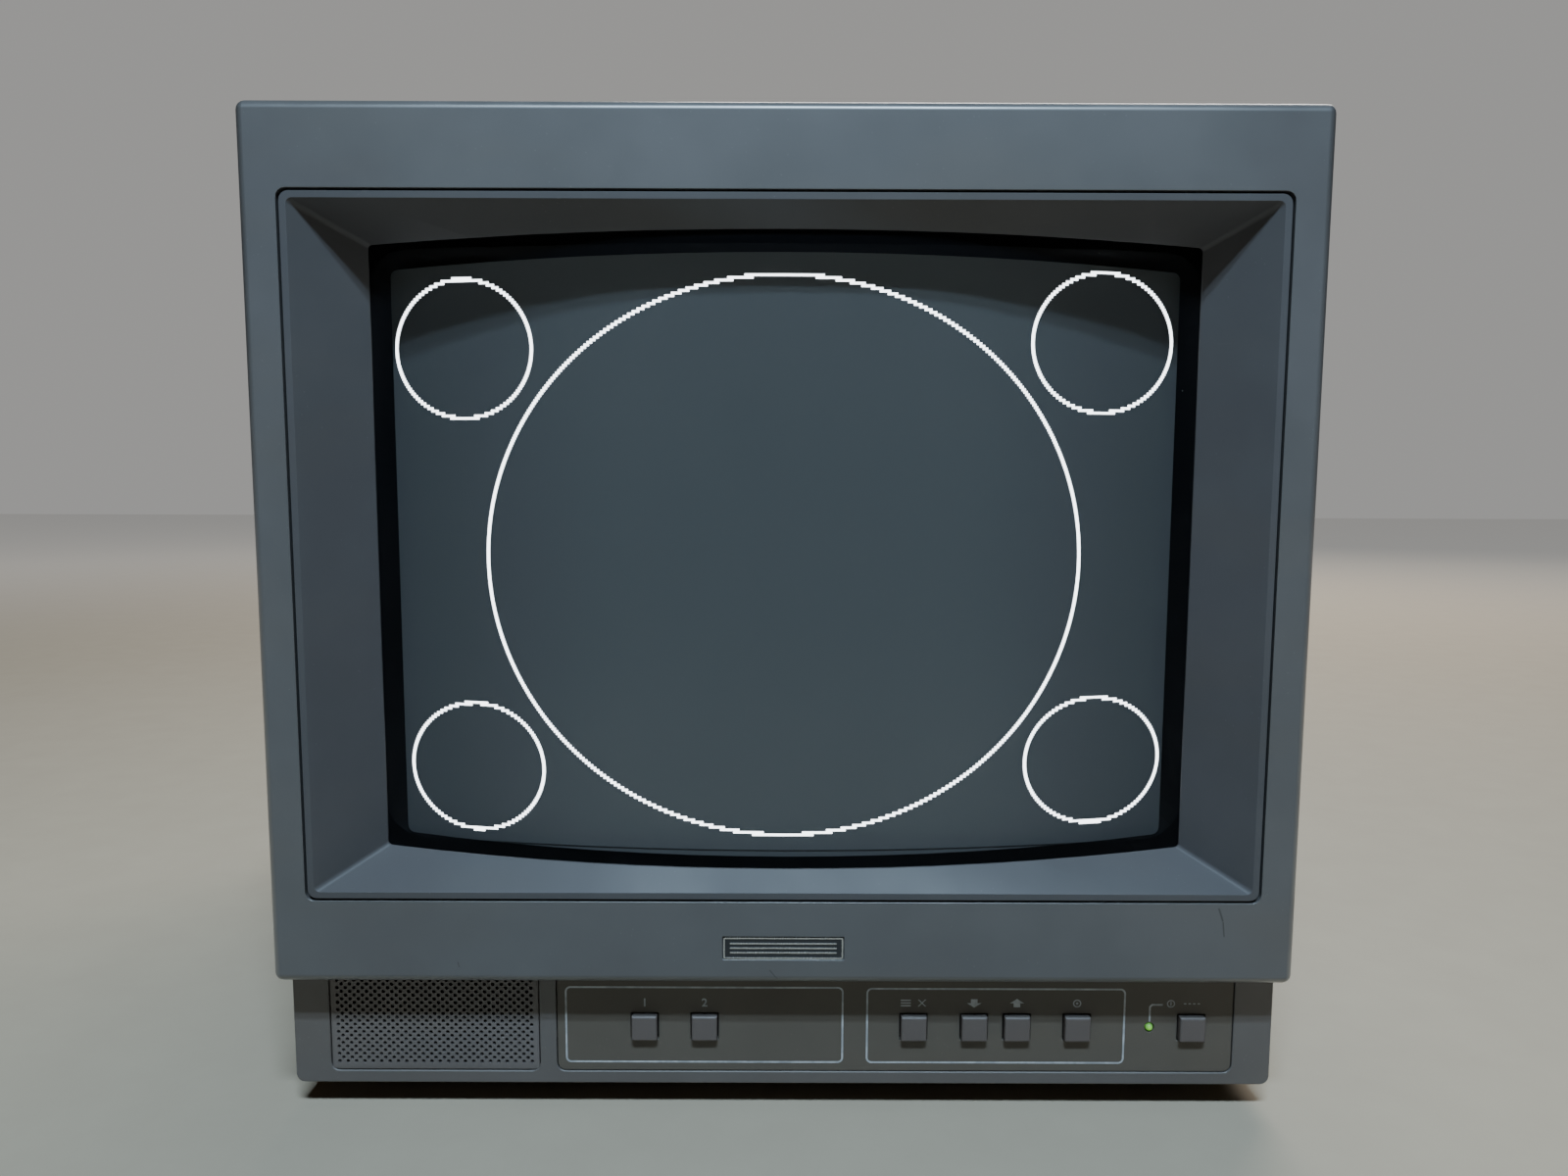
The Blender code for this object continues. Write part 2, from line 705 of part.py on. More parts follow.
def tube_screws():
    seat = lug_front() + LUG_THICKNESS + GAP
    names = ("left_low", "left_high", "right_low", "right_high")
    profile = [
        (0, seat - SCREW_LENGTH),
        (SCREW_RADIUS, seat - SCREW_LENGTH),
        (SCREW_RADIUS, seat),
        (2 * SCREW_RADIUS, seat),
        (2 * SCREW_RADIUS, seat + SCREW_RADIUS),
        (0, seat + SCREW_RADIUS),
    ]
    for name, (x, z) in zip(names, bosses()):
        build(f"tube_screw_{name}", turned(profile, 8), ZINC_STEEL, (x, 0, z))


def degauss_coil():
    share = COIL_BEHIND_SEAL / FUNNEL_LENGTH
    ahead, behind = (tube_reach(funnel_y(share + step)) for step in (-0.02, 0.02))
    slope = (ahead - behind) / (0.04 * FUNNEL_LENGTH)
    off_glass = (DEGAUSS_RADIUS + GAP) * math.hypot(1, slope)
    path = at(funnel_y(share), funnel_outline(share, -off_glass))
    build("degauss_coil", bundle(path, DEGAUSS_RADIUS), BLACK_PLASTIC, smooth=True)


def anode_place():
    """Where the anode button is, on top of the funnel, and the slope of the glass there."""
    t = 0.34
    high = [max(z for _, z in funnel_outline(share)) for share in (t - 0.04, t, t + 0.04)]
    rise = high[2] - high[0]
    run = 0.08 * FUNNEL_LENGTH
    return Vector((0, funnel_y(t), high[1])), math.atan2(-rise, run)


def anode_cap():
    place, slope = anode_place()
    profile = [
        (0, 0.001),
        (0.015, 0.001),
        (0.016, 0.0025),
        (0.010, 0.005),
        (0.009, 0.011),
        (0.006, 0.013),
        (0, 0.013),
    ]
    cap = build("anode_cap", turned(profile, 16, "Z"), RED_RUBBER, place, smooth=True)
    cap.rotation_euler = (-slope, 0, 0)


def smooth_route(points, between=4):
    """A smooth curve through the points, read at even shares of each stretch."""
    route = []
    ends = [points[0]] + list(points) + [points[-1]]
    for a, b, c, d in zip(ends, ends[1:], ends[2:], ends[3:]):
        for step in range(between):
            t = step / between
            part = []
            for k in range(3):
                part.append(
                    0.5
                    * (
                        2 * b[k]
                        + (c[k] - a[k]) * t
                        + (2 * a[k] - 5 * b[k] + 4 * c[k] - d[k]) * t * t
                        + (3 * b[k] - a[k] - 3 * c[k] + d[k]) * t**3
                    )
                )
            route.append(tuple(part))
    route.append(tuple(points[-1]))
    return route


def anode_lead():
    place, _ = anode_place()
    x, y, z = flyback_middle()
    points = [
        (place.x + 0.0105, place.y + 0.003, place.z + 0.0085),
        (place.x + 0.024, place.y + 0.006, place.z + 0.012),
        (place.x + 0.055, place.y + 0.025, place.z + 0.016),
        (place.x + 0.095, place.y + 0.060, place.z + 0.002),
        (x + 0.018, y - 0.040, AXIS_Z + 0.035),
        (x + 0.028, y - 0.010, AXIS_Z - 0.020),
        (x + 0.016, y, FLYBACK_TOP + 0.030),
        (x, y, FLYBACK_TOP + 0.012),
        (x, y, FLYBACK_TOP + 2 * GAP),
    ]
    curve = bpy.data.curves.new("anode_lead", "CURVE")
    curve.dimensions = "3D"
    curve.bevel_depth = 0.0022
    curve.bevel_resolution = 2
    curve.use_fill_caps = True
    route = smooth_route(points)
    spline = curve.splines.new("POLY")
    spline.points.add(len(route) - 1)
    for point, place in zip(spline.points, route):
        point.co = (*place, 1)
    lead = bpy.data.objects.new("anode_lead", curve)
    bpy.context.scene.collection.objects.link(lead)
    dress(lead, RED_RUBBER)


# Yoke and neck fittings


def coil_stations():
    start = NECK_FRONT - FUNNEL_LENGTH * YOKE_COVER
    end = NECK_FRONT + YOKE_BACK
    return [mix(start, end, i / 6) for i in range(7)]


def coil_outer(y):
    return tube_reach(y) + 3 * FIT + COIL_THICKNESS


def deflection_yoke():
    stations = coil_stations()
    inner = [(tube_reach(y) + 3 * FIT, y) for y in stations]
    outer = [(coil_outer(y), y) for y in reversed(stations[1:-1])]
    first, last = stations[0], stations[-1]
    front = [(coil_outer(first) + CORE_THICKNESS, first + COIL_THICKNESS / 2), (coil_outer(first) + CORE_THICKNESS, first)]
    back = [(coil_outer(last) + CORE_THICKNESS / 2, last), (coil_outer(last) + CORE_THICKNESS / 2, last - COIL_THICKNESS / 2)]
    collar = [(coil_outer(last - COIL_THICKNESS / 2), last - COIL_THICKNESS / 2)]
    throat = [(coil_outer(first + COIL_THICKNESS / 2), first + COIL_THICKNESS / 2)]
    profile = inner + back + collar + outer + throat + front
    build("deflection_yoke", turned(profile), COPPER, (0, 0, AXIS_Z), smooth=True)


def yoke_core():
    stations = coil_stations()[2:5]
    inner = [(coil_outer(y) + 2 * FIT, y) for y in stations]
    outer = [(coil_outer(y) + 2 * FIT + CORE_THICKNESS, y) for y in reversed(stations)]
    build("yoke_core", turned(inner + outer), FERRITE, (0, 0, AXIS_Z), smooth=True)


def ring_magnets():
    """Rings that turn on the neck, each with a finger tab."""
    start = NECK_FRONT + YOKE_BACK + 0.012
    for i, name in enumerate(("purity_ring", "convergence_ring_front", "convergence_ring_rear")):
        y = start + RING_PITCH * i
        bore = NECK_RADIUS + FIT
        profile = [(bore, y), (RING_RADIUS, y), (RING_RADIUS, y + RING_THICKNESS), (bore, y + RING_THICKNESS)]
        ring = build(name, turned(profile), WHITE_PLASTIC, smooth=True)
        half = RING_THICKNESS
        tab = (-half, half, y, y + RING_THICKNESS, RING_RADIUS - 2 * BITE, RING_RADIUS + 0.009)
        join(ring, blocks(tab), "tab")
        axle = bpy.data.objects.new(f"{name}_axis", None)
        bpy.context.scene.collection.objects.link(axle)
        axle.location = (0, 0, AXIS_Z)
        ring.parent = axle
        bpy.data.objects[f"{name}_tab"].parent = axle


def socket_back():
    return NECK_BACK + GAP + SOCKET_LENGTH


def tube_socket():
    start = NECK_BACK + GAP
    chamfer = SOCKET_LENGTH / 5
    profile = [
        (0, start),
        (SOCKET_RADIUS - chamfer, start),
        (SOCKET_RADIUS, start + chamfer),
        (SOCKET_RADIUS, socket_back()),
        (0, socket_back()),
    ]
    build("tube_socket", turned(profile, 16), BLACK_PLASTIC, (0, 0, AXIS_Z), smooth=True)


def neck_board():
    start = socket_back() + GAP
    end = start + BOARD_THICKNESS
    half = NECK_BOARD_SIZE / 2
    body = build("neck_board", blocks((-half, half, start, end, AXIS_Z - half, AXIS_Z + half)), CIRCUIT_BOARD)
    sinks = []
    for i in range(3):
        x = (i - 1) * NECK_BOARD_SIZE * 0.28
        sinks.append((x - 0.008, x + 0.008, start - 0.014, start + BITE, AXIS_Z + half * 0.62, AXIS_Z + half * 0.66))
    sinks.append((-half * 0.3, half * 0.3, start - 0.006, start + BITE, AXIS_Z - half * 0.92, AXIS_Z - half * 0.72))
    join(body, blocks(*sinks), "parts")


# Base front and controls


def base_front():
    corner = BASE_CORNER
    shell = outline(BASE_HALF, FOOT_HEIGHT, BASE_TOP, corner)
    body = build("base_front", bar(BASE_FRONT, HEAD_BACK, shell), GREY_MOULDING)
    inside = BASE_HALF - BASE_WALL
    behind = (-inside, inside, BASE_FRONT + BASE_PLATE, HEAD_BACK + BITE, FOOT_HEIGHT + BASE_WALL, BASE_TOP + BITE)
    cut(body, blocks(behind), "hollow")
    over = BASE_TOP + BITE
    pockets = []
    windows = []
    for left, right in ((GRILLE_LEFT, GRILLE_RIGHT), (PANEL_LEFT, PANEL_RIGHT)):
        middle, half = (left + right) / 2, (right - left) / 2
        flat = outline(half, INSERT_LOW, over + INSERT_CORNER, INSERT_CORNER, middle=middle)
        pockets.append(bar(BASE_FRONT - BITE, BASE_FRONT + POCKET_DEPTH, flat))
        ledge = INSERT_CORNER
        back = BASE_FRONT + BASE_PLATE + BITE
        front = BASE_FRONT + POCKET_DEPTH - BITE
        windows.append((left + ledge, right - ledge, front, back, INSERT_LOW + POCKET_LEDGE, over))
    cut(body, several(pockets), "insert_pockets")
    cut(body, blocks(*windows), "insert_windows")


def insert(left, right):
    """The outline of a piece that fills a pocket of the base front, clear of its edges."""
    middle = (left + right) / 2
    half = (right - left) / 2 - GAP
    return outline(half, INSERT_LOW + GAP, BASE_TOP + INSERT_CORNER, INSERT_CORNER - GAP, middle=middle)


def trim_top(body):
    """Ends an insert level with the top of the base front."""
    above = (-WIDTH, WIDTH, BASE_FRONT - 2 * BASE_PLATE, BASE_FRONT + 2 * BASE_PLATE, BASE_TOP, BASE_TOP + 2 * INSERT_CORNER)
    cut(body, blocks(above), "trim")


def speaker_grille():
    body = build("speaker_grille", bar(INSERT_FACE, INSERT_BACK, insert(GRILLE_LEFT, GRILLE_RIGHT)), GREY_MOULDING)
    trim_top(body)


def control_panel():
    body = build("control_panel", bar(INSERT_FACE, INSERT_BACK, insert(PANEL_LEFT, PANEL_RIGHT)), PANEL_MOULDING)
    trim_top(body)
    hole = BUTTON_SIZE + 2 * FIT
    places = [*BUTTON_PLACES.values(), POWER_PLACE]
    holes = [centred(x, BUTTON_ROW, hole, hole, INSERT_FACE - BITE, INSERT_BACK + BITE) for x in places]
    cut(body, blocks(*holes), "button_holes")
    light = rod(LED_RADIUS + FIT, INSERT_FACE - BITE, INSERT_BACK + BITE)
    cut(body, moved(light, LED_PLACE, 0, BUTTON_ROW), "light_hole")


def button(name, x, travel):
    """A cap, a flange that keeps it in, and a stem to its switch. Its origin is the middle of the row line."""
    cap = BUTTON_SIZE / 2
    flange = cap + FIT + BUTTON_FLANGE
    stem = cap / 2
    face = INSERT_FACE - BUTTON_PROUD
    stop = INSERT_BACK + FIT
    sizes = [
        (cap - BUTTON_EDGE, face),
        (cap, face + BUTTON_EDGE),
        (cap, stop),
        (flange, stop),
        (flange, stop + BUTTON_FLANGE_THICKNESS),
        (stem, stop + BUTTON_FLANGE_THICKNESS),
        (stem, face + BUTTON_LENGTH),
    ]
    rings = [at(y, [(-s, -s), (s, -s), (s, s), (-s, s)]) for s, y in sizes]
    build(name, loft(rings), BUTTON_PLASTIC, (x, 0, BUTTON_ROW))


def switch_face(travel):
    """The front of a switch that leaves its button room to travel."""
    return INSERT_FACE - BUTTON_PROUD + BUTTON_LENGTH + travel + FIT


def buttons():
    for name, x in BUTTON_PLACES.items():
        button(name, x, BUTTON_TRAVEL)
    button("button_power", POWER_PLACE, POWER_TRAVEL)


def power_light():
    face = INSERT_FACE
    profile = [
        (0, face - LED_RADIUS / 2),
        (LED_RADIUS * 0.75, face - LED_RADIUS / 4),
        (LED_RADIUS, face + LED_RADIUS / 3),
        (LED_RADIUS, board_front() - GAP),
        (0, board_front() - GAP),
    ]
    build("power_light", turned(profile, SMALL_STEPS), GREEN_LENS, (LED_PLACE, 0, BUTTON_ROW), smooth=True)


def board_front():
    return switch_face(BUTTON_TRAVEL) + SWITCH_SIZE / 2


def control_board():
    """The board behind the panel, with a switch for each button that springs back."""
    start = board_front()
    room = GAP + 2 * BASE_WALL
    right = POWER_PLACE - BUTTON_SIZE
    box = (PANEL_LEFT + room, right, start, start + BOARD_THICKNESS, INSERT_LOW + room, BASE_TOP - BASE_WALL)
    body = build("control_board", blocks(box), CIRCUIT_BOARD)
    switches = []
    for x in BUTTON_PLACES.values():
        switches.append(centred(x, BUTTON_ROW, SWITCH_SIZE, SWITCH_SIZE, switch_face(BUTTON_TRAVEL), start + BITE))
    join(body, blocks(*switches), "switches")


def power_switch():
    start = switch_face(POWER_TRAVEL)
    wide = BUTTON_SIZE * 1.3
    box = centred(POWER_PLACE, BUTTON_ROW, wide, wide, start, start + 0.022)
    build("power_switch", blocks(box), BLACK_PLASTIC)


def loudspeaker():
    """An oblong basket with its magnet behind."""
    middle = (GRILLE_LEFT + GRILLE_RIGHT) / 2
    half = (GRILLE_RIGHT - GRILLE_LEFT) / 2 - INSERT_CORNER - BASE_WALL
    low = INSERT_LOW + POCKET_LEDGE
    high = BASE_TOP - BASE_WALL
    start = BASE_FRONT + BASE_PLATE + GAP

    def ring(share, y):
        middle_z = (low + high) / 2
        tall = (high - low) / 2
        side = mix(tall, half, share)
        return at(y, outline(side * share, middle_z - tall * share, middle_z + tall * share, tall * share * 0.95, middle=middle))

    rings = [
        ring(1.0, start),
        ring(1.0, start + 0.003),
        ring(0.88, start + 0.003),
        ring(0.62, start + 0.012),
        ring(0.80, start + 0.012),
        ring(0.80, start + 0.021),
    ]
    build("loudspeaker", loft(rings), BLACK_PLASTIC, smooth=True)


# Cabinet


def u_section(half, low, high, corner, sheet):
    """An upside-down U of sheet, as one outline."""
    outer = outline(half, low, high, corner)
    arch = [point for point in outer[CORNER_STEPS + 1 : 3 * (CORNER_STEPS + 1)]]
    inner_corner = corner - sheet
    inner = outline(half - sheet, low, high - sheet, inner_corner)
    under = [point for point in inner[CORNER_STEPS + 1 : 3 * (CORNER_STEPS + 1)]]
    return [(half, low), *arch, (-half, low), (-half + sheet, low), *under[::-1], (half - sheet, low)]


def slot_row(count, middle, pitch):
    return [middle + (i - (count - 1) / 2) * pitch for i in range(count)]


def cabinet_cover():
    start = HEAD_BACK + GAP
    section = u_section(COVER_HALF, COVER_EDGE, COVER_TOP, COVER_CORNER, COVER_THICKNESS)
    body = build("cabinet_cover", bar(start, COVER_BACK, section), PAINTED_STEEL)
    middle = (start + COVER_BACK) / 2
    half = SLOT_WIDTH / 2
    top = []
    for y in slot_row(TOP_SLOTS, middle, SLOT_PITCH):
        for side in (-1, 1):
            centre = side * COVER_HALF * 0.48
            reach = TOP_SLOT_LENGTH / 2
            top.append((centre - reach, centre + reach, y - half, y + half, INSIDE_TOP - BITE, COVER_TOP + BITE))
    cut(body, blocks(*top), "top_slots")
    sides = []
    for y in slot_row(SIDE_SLOTS, middle, SLOT_PITCH):
        for side in (-1, 1):
            a, b = sorted((side * (INSIDE_HALF - BITE), side * (COVER_HALF + BITE)))
            z = COVER_EDGE + SIDE_SLOT_LENGTH
            sides.append((a, b, y - half, y + half, z, z + SIDE_SLOT_LENGTH))
    cut(body, blocks(*sides), "side_slots")
    holes = []
    for y in slot_row(2, middle, RACK_HOLE_SPACING_Y):
        for z in slot_row(2, AXIS_Z, RACK_HOLE_SPACING_Z):
            for side in (-1, 1):
                a, b = sorted((side * (INSIDE_HALF - BITE), side * (COVER_HALF + BITE)))
                holes.append(moved(rod(RACK_HOLE_RADIUS, a, b, 8, "X"), 0, y, z))
    cut(body, several(holes), "rack_holes")


def chassis_tray():
    start = HEAD_BACK + GAP
    end = REAR_FRONT - GAP
    half = INSIDE_HALF
    low = FOOT_HEIGHT
    sheet = TRAY_SHEET
    section = [
        (-half, low),
        (half, low),
        (half, low + TRAY_FLANGE),
        (half - sheet, low + TRAY_FLANGE),
        (half - sheet, low + sheet),
        (-half + sheet, low + sheet),
        (-half + sheet, low + TRAY_FLANGE),
        (-half, low + TRAY_FLANGE),
    ]
    body = build("chassis_tray", bar(start, end, section), ZINC_STEEL)
    posts = []
    for x in (-0.82, -0.50, -0.26, 0.82):
        for y in (0.18, 0.82):
            place = mix(start, end, y)
            posts.append((x * half - 0.003, x * half + 0.003, place - 0.003, place + 0.003, low + sheet / 2, BOARD_LOW - GAP))
    join(body, blocks(*posts), "standoffs")
    slots = []
    for y in slot_row(7, (start + end) / 2, 2 * SLOT_PITCH):
        slots.append((-TOP_SLOT_LENGTH / 4, TOP_SLOT_LENGTH, y - SLOT_WIDTH / 2, y + SLOT_WIDTH / 2, low - BITE, TRAY_TOP + BITE))
    cut(body, blocks(*slots), "slots")


def connectors():
    """Names and places of the video connectors."""
    names = ("video_in_a", "video_out_a", "video_in_b", "video_out_b")
    return list(zip(names, slot_row(len(names), -COVER_HALF * 0.30, BNC_SPACING)))


def inlet_place():
    return COVER_HALF * 0.66, BNC_ROW


def jack_places():
    return slot_row(2, COVER_HALF * 0.12, BNC_SPACING * 0.75)


def rear_panel():
    sheet = outline(INSIDE_HALF, FOOT_HEIGHT, INSIDE_TOP, COVER_CORNER - COVER_THICKNESS)
    body = build("rear_panel", bar(REAR_FRONT, REAR_BACK, sheet), PAINTED_STEEL)
    y0, y1 = REAR_FRONT - BITE, REAR_BACK + BITE
    wide = NECK_COVER_WIDTH - 2 * NECK_COVER_TAPER - 4 * NECK_COVER_WALL
    tall = NECK_COVER_HEIGHT - 2 * NECK_COVER_TAPER - 4 * NECK_COVER_WALL
    x, z = inlet_place()
    holes = [
        centred(0, AXIS_Z, wide, tall, y0, y1),
        centred(x, z, INLET_WIDTH + 2 * GAP, INLET_HEIGHT + 2 * GAP, y0, y1),
    ]
    for slot_x in slot_row(9, 0, 2 * SLOT_PITCH):
        low = AXIS_Z + NECK_COVER_HEIGHT / 2 + SLOT_PITCH
        holes.append((slot_x - SLOT_WIDTH / 2, slot_x + SLOT_WIDTH / 2, y0, y1, low, INSIDE_TOP - SLOT_PITCH))
    cut(body, blocks(*holes), "openings")
    rounds = [moved(rod(BNC_RADIUS + GAP, y0, y1), x, 0, BNC_ROW) for _, x in connectors()]
    rounds += [moved(rod(JACK_RADIUS + GAP, y0, y1), x, 0, BNC_ROW) for x in jack_places()]
    cut(body, several(rounds), "connector_holes")


def neck_cover():
    """A moulded box over the end of the tube, with a flange to the rear panel."""
    start = REAR_BACK + GAP
    half, tall = NECK_COVER_WIDTH / 2, NECK_COVER_HEIGHT / 2
    wall = NECK_COVER_WALL

    def ring(grow, y):
        return at(y, outline(half + grow, AXIS_Z - tall - grow, AXIS_Z + tall + grow, 0.008))

    slim = -NECK_COVER_TAPER - wall
    rings = [
        ring(slim - wall, BACK - wall),
        ring(-2 * wall - wall, start),
        ring(2 * wall, start),
        ring(2 * wall, start + wall),
        ring(-wall, start + wall),
        ring(slim, BACK),
    ]
    body = build("neck_cover", loft(rings), BLACK_PLASTIC)
    slots = []
    for x in slot_row(11, 0, SLOT_PITCH):
        reach = tall * 0.55
        slots.append((x - SLOT_WIDTH / 2, x + SLOT_WIDTH / 2, BACK - wall - BITE, BACK + BITE, AXIS_Z - reach, AXIS_Z + reach))
    cut(body, blocks(*slots), "slots")


def feet():
    high = FOOT_HEIGHT - GAP
    profile = [
        (0, 0),
        (FOOT_RADIUS - 0.002, 0),
        (FOOT_RADIUS - 0.0005, 0.0015),
        (FOOT_RADIUS, high),
        (0, high),
    ]
    rows = {"front": FRONT + FOOT_INSET_FRONT, "rear": COVER_BACK - FOOT_INSET_REAR}
    for row, y in rows.items():
        for side, sign in (("left", -1), ("right", 1)):
            place = (sign * (WIDTH / 2 - FOOT_INSET_X), y, 0)
            build(f"foot_{row}_{side}", turned(profile[::-1], 20, "Z"), RUBBER, place, smooth=True)


# Boards, power and connectors

FLYBACK_WIDTH = 0.046
FLYBACK_TOP = 0.086


def board_span():
    return HEAD_BACK + HEAD_LENGTH, REAR_FRONT - 0.018


def main_board():
    y0, y1 = board_span()
    left, right = -INSIDE_HALF * 0.30, INSIDE_HALF * 0.90
    body = build("main_board", blocks((left, right, y0, y1, BOARD_LOW, BOARD_TOP)), CIRCUIT_BOARD)
    chips = []
    for i in range(4):
        x = mix(left, right, 0.12 + 0.17 * i)
        for y in (mix(y0, y1, 0.2), mix(y0, y1, 0.5)):
            chips.append((x - 0.008, x + 0.008, y - 0.006, y + 0.006, BOARD_TOP - BITE, BOARD_TOP + 0.004))
    join(body, blocks(*chips), "chips")


def power_board():
    y0, y1 = board_span()
    left, right = -INSIDE_HALF * 0.92, -INSIDE_HALF * 0.40
    body = build("power_board", blocks((left, right, y0, y1, BOARD_LOW, BOARD_TOP)), CIRCUIT_BOARD)
    middle = (left + right) / 2
    core = centred(middle, 0, 0.032, 0, 0, 0)[:2]
    y = mix(y0, y1, 0.28)
    join(body, blocks((*core, y - 0.016, y + 0.016, BOARD_TOP - BITE, BOARD_TOP + 0.030)), "transformer")


def main_capacitor():
    y0, y1 = board_span()
    x = -INSIDE_HALF * 0.70
    low = BOARD_TOP + GAP
    profile = [(0, low + 0.040), (0.0115, low + 0.040), (0.0125, low + 0.039), (0.0125, low), (0, low)]
    build("main_capacitor", turned(profile, 16, "Z"), BLACK_PLASTIC, (x, mix(y0, y1, 0.62), 0), smooth=True)


def heat_sink():
    y0, y1 = board_span()
    right = -INSIDE_HALF * 0.42
    start, end = mix(y0, y1, 0.52), mix(y0, y1, 0.88)
    low, high = BOARD_TOP + GAP, BOARD_TOP + 0.045
    body = build("heat_sink", blocks((right - 0.003, right, start, end, low, high)), ALUMINIUM)
    fins = []
    for y in slot_row(6, (start + end) / 2, (end - start) / 6.5):
        fins.append((right - 0.016, right - 0.003 + BITE, y - 0.0008, y + 0.0008, low, high))
    join(body, blocks(*fins), "fins")


def flyback_middle():
    _, y1 = board_span()
    return INSIDE_HALF * 0.66, y1 - FLYBACK_WIDTH * 0.75, (BOARD_TOP + FLYBACK_TOP) / 2


def flyback_transformer():
    x, y, _ = flyback_middle()
    half = FLYBACK_WIDTH / 2
    low = BOARD_TOP + GAP
    body = build("flyback_transformer", blocks((x - half, x + half, y - half, y + half, low, FLYBACK_TOP)), BLACK_PLASTIC)
    core = (x - half * 1.35, x - half + BITE, y - half * 0.4, y + half * 0.4, low, FLYBACK_TOP * 0.9)
    join(body, blocks(core), "core")


def flyback_knobs():
    """The focus and screen voltage controls on the back of the transformer."""
    x, y, z = flyback_middle()
    face = y + FLYBACK_WIDTH / 2 + GAP
    profile = [(0, face), (0.0050, face), (0.0045, face + 0.006), (0, face + 0.006)]
    for name, lift in (("focus_knob", 0.014), ("screen_knob", -0.006)):
        knob = build(name, turned(profile, SMALL_STEPS), WHITE_PLASTIC, (x, 0, z + lift), smooth=True)
        slot = (-0.0008, 0.0008, face + 0.0045, face + 0.0065, -0.0035, 0.0035)
        cut(knob, blocks(slot), "slot")
        bpy.data.objects[f"{name}_slot"].location = knob.location


def video_connectors():
    """Sockets with a nut inside the panel and a flange outside."""
    face = REAR_BACK + GAP
    profile = [
        (0, face - 0.016),
        (BNC_RADIUS * 0.8, face - 0.016),
        (BNC_RADIUS * 0.8, REAR_FRONT - 0.003),
        (BNC_FLANGE, REAR_FRONT - 0.003),
        (BNC_FLANGE, REAR_FRONT - GAP),
        (BNC_RADIUS, REAR_FRONT - GAP),
        (BNC_RADIUS, face),
        (BNC_FLANGE, face),
        (BNC_FLANGE, face + 0.002),
        (BNC_RADIUS, face + 0.002),
        (BNC_RADIUS, face + BNC_PROUD),
        (BNC_RADIUS * 0.8, face + BNC_PROUD),
        (BNC_RADIUS * 0.8, face + BNC_PROUD * 0.4),
        (0, face + BNC_PROUD * 0.4),
    ]
    for name, x in connectors():
        build(name, turned(profile, SMALL_STEPS), NICKEL, (x, 0, BNC_ROW), smooth=True)


def audio_jacks():
    """Two round jacks on one block inside the panel."""
    left, right = jack_places()
    end = REAR_FRONT - GAP
    reach = JACK_RADIUS * 1.6
    box = (left - reach, right + reach, end - 0.012, end, BNC_ROW - reach, BNC_ROW + reach)
    body = build("audio_jacks", blocks(box), BLACK_PLASTIC)
    profile = [
        (0, end - BITE),
        (JACK_RADIUS, end - BITE),
        (JACK_RADIUS, REAR_BACK + 0.008),
        (JACK_RADIUS * 0.7, REAR_BACK + 0.008),
        (JACK_RADIUS * 0.7, REAR_BACK + 0.002),
        (0, REAR_BACK + 0.002),
    ]
    join(body, several([moved(turned(profile, SMALL_STEPS), x, 0, BNC_ROW) for x in (left, right)]), "jacks")


def mains_inlet():
    """A cup through the rear panel with a flange outside and three flat pins."""
    x, z = inlet_place()
    face = REAR_BACK + GAP
    floor = face + INLET_WALL - INLET_DEPTH
    wide, tall, wall = INLET_WIDTH, INLET_HEIGHT, INLET_WALL

    def rect(grow, y):
        a, b = wide / 2 + grow, tall / 2 + grow
        return at(y, [(x - a, z - b), (x + a, z - b), (x + a, z + b), (x - a, z + b)])

    rings = [
        rect(-wall, floor),
        rect(-wall, face + INLET_WALL),
        rect(INLET_FLANGE, face + INLET_WALL),
        rect(INLET_FLANGE, face),
        rect(0, face),
        rect(0, floor - wall),
    ]
    body = build("mains_inlet", loft(rings), BLACK_PLASTIC)
    pins = []
    for offset, lift in ((-0.007, -0.0015), (0, 0.0025), (0.007, -0.0015)):
        pin_z = z + lift
        pins.append(centred(x + offset, pin_z, PIN_WIDTH, 2 * PIN_WIDTH, floor - BITE, face - PIN_WIDTH))
    join(body, blocks(*pins), "pins")


def main():
    clear_scene()
    front_bezel()
    name_plate()
    screen_mask()
    tube_panel()
    phosphor_screen()
    aperture_grille()
    tube_funnel()
    tube_neck()
    electron_gun()
    tension_band()
    tube_screws()
    degauss_coil()
    anode_cap()
    anode_lead()
    deflection_yoke()
    yoke_core()
    ring_magnets()
    tube_socket()
    neck_board()
    base_front()
    speaker_grille()
    control_panel()
    buttons()
    power_light()
    control_board()
    power_switch()
    loudspeaker()
    cabinet_cover()
    chassis_tray()
    rear_panel()
    neck_cover()
    feet()
    main_board()
    power_board()
    main_capacitor()
    heat_sink()
    flyback_transformer()
    flyback_knobs()
    video_connectors()
    audio_jacks()
    mains_inlet()


main()
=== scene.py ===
import json
import math

import bmesh
import bpy
from mathutils import Matrix, Vector

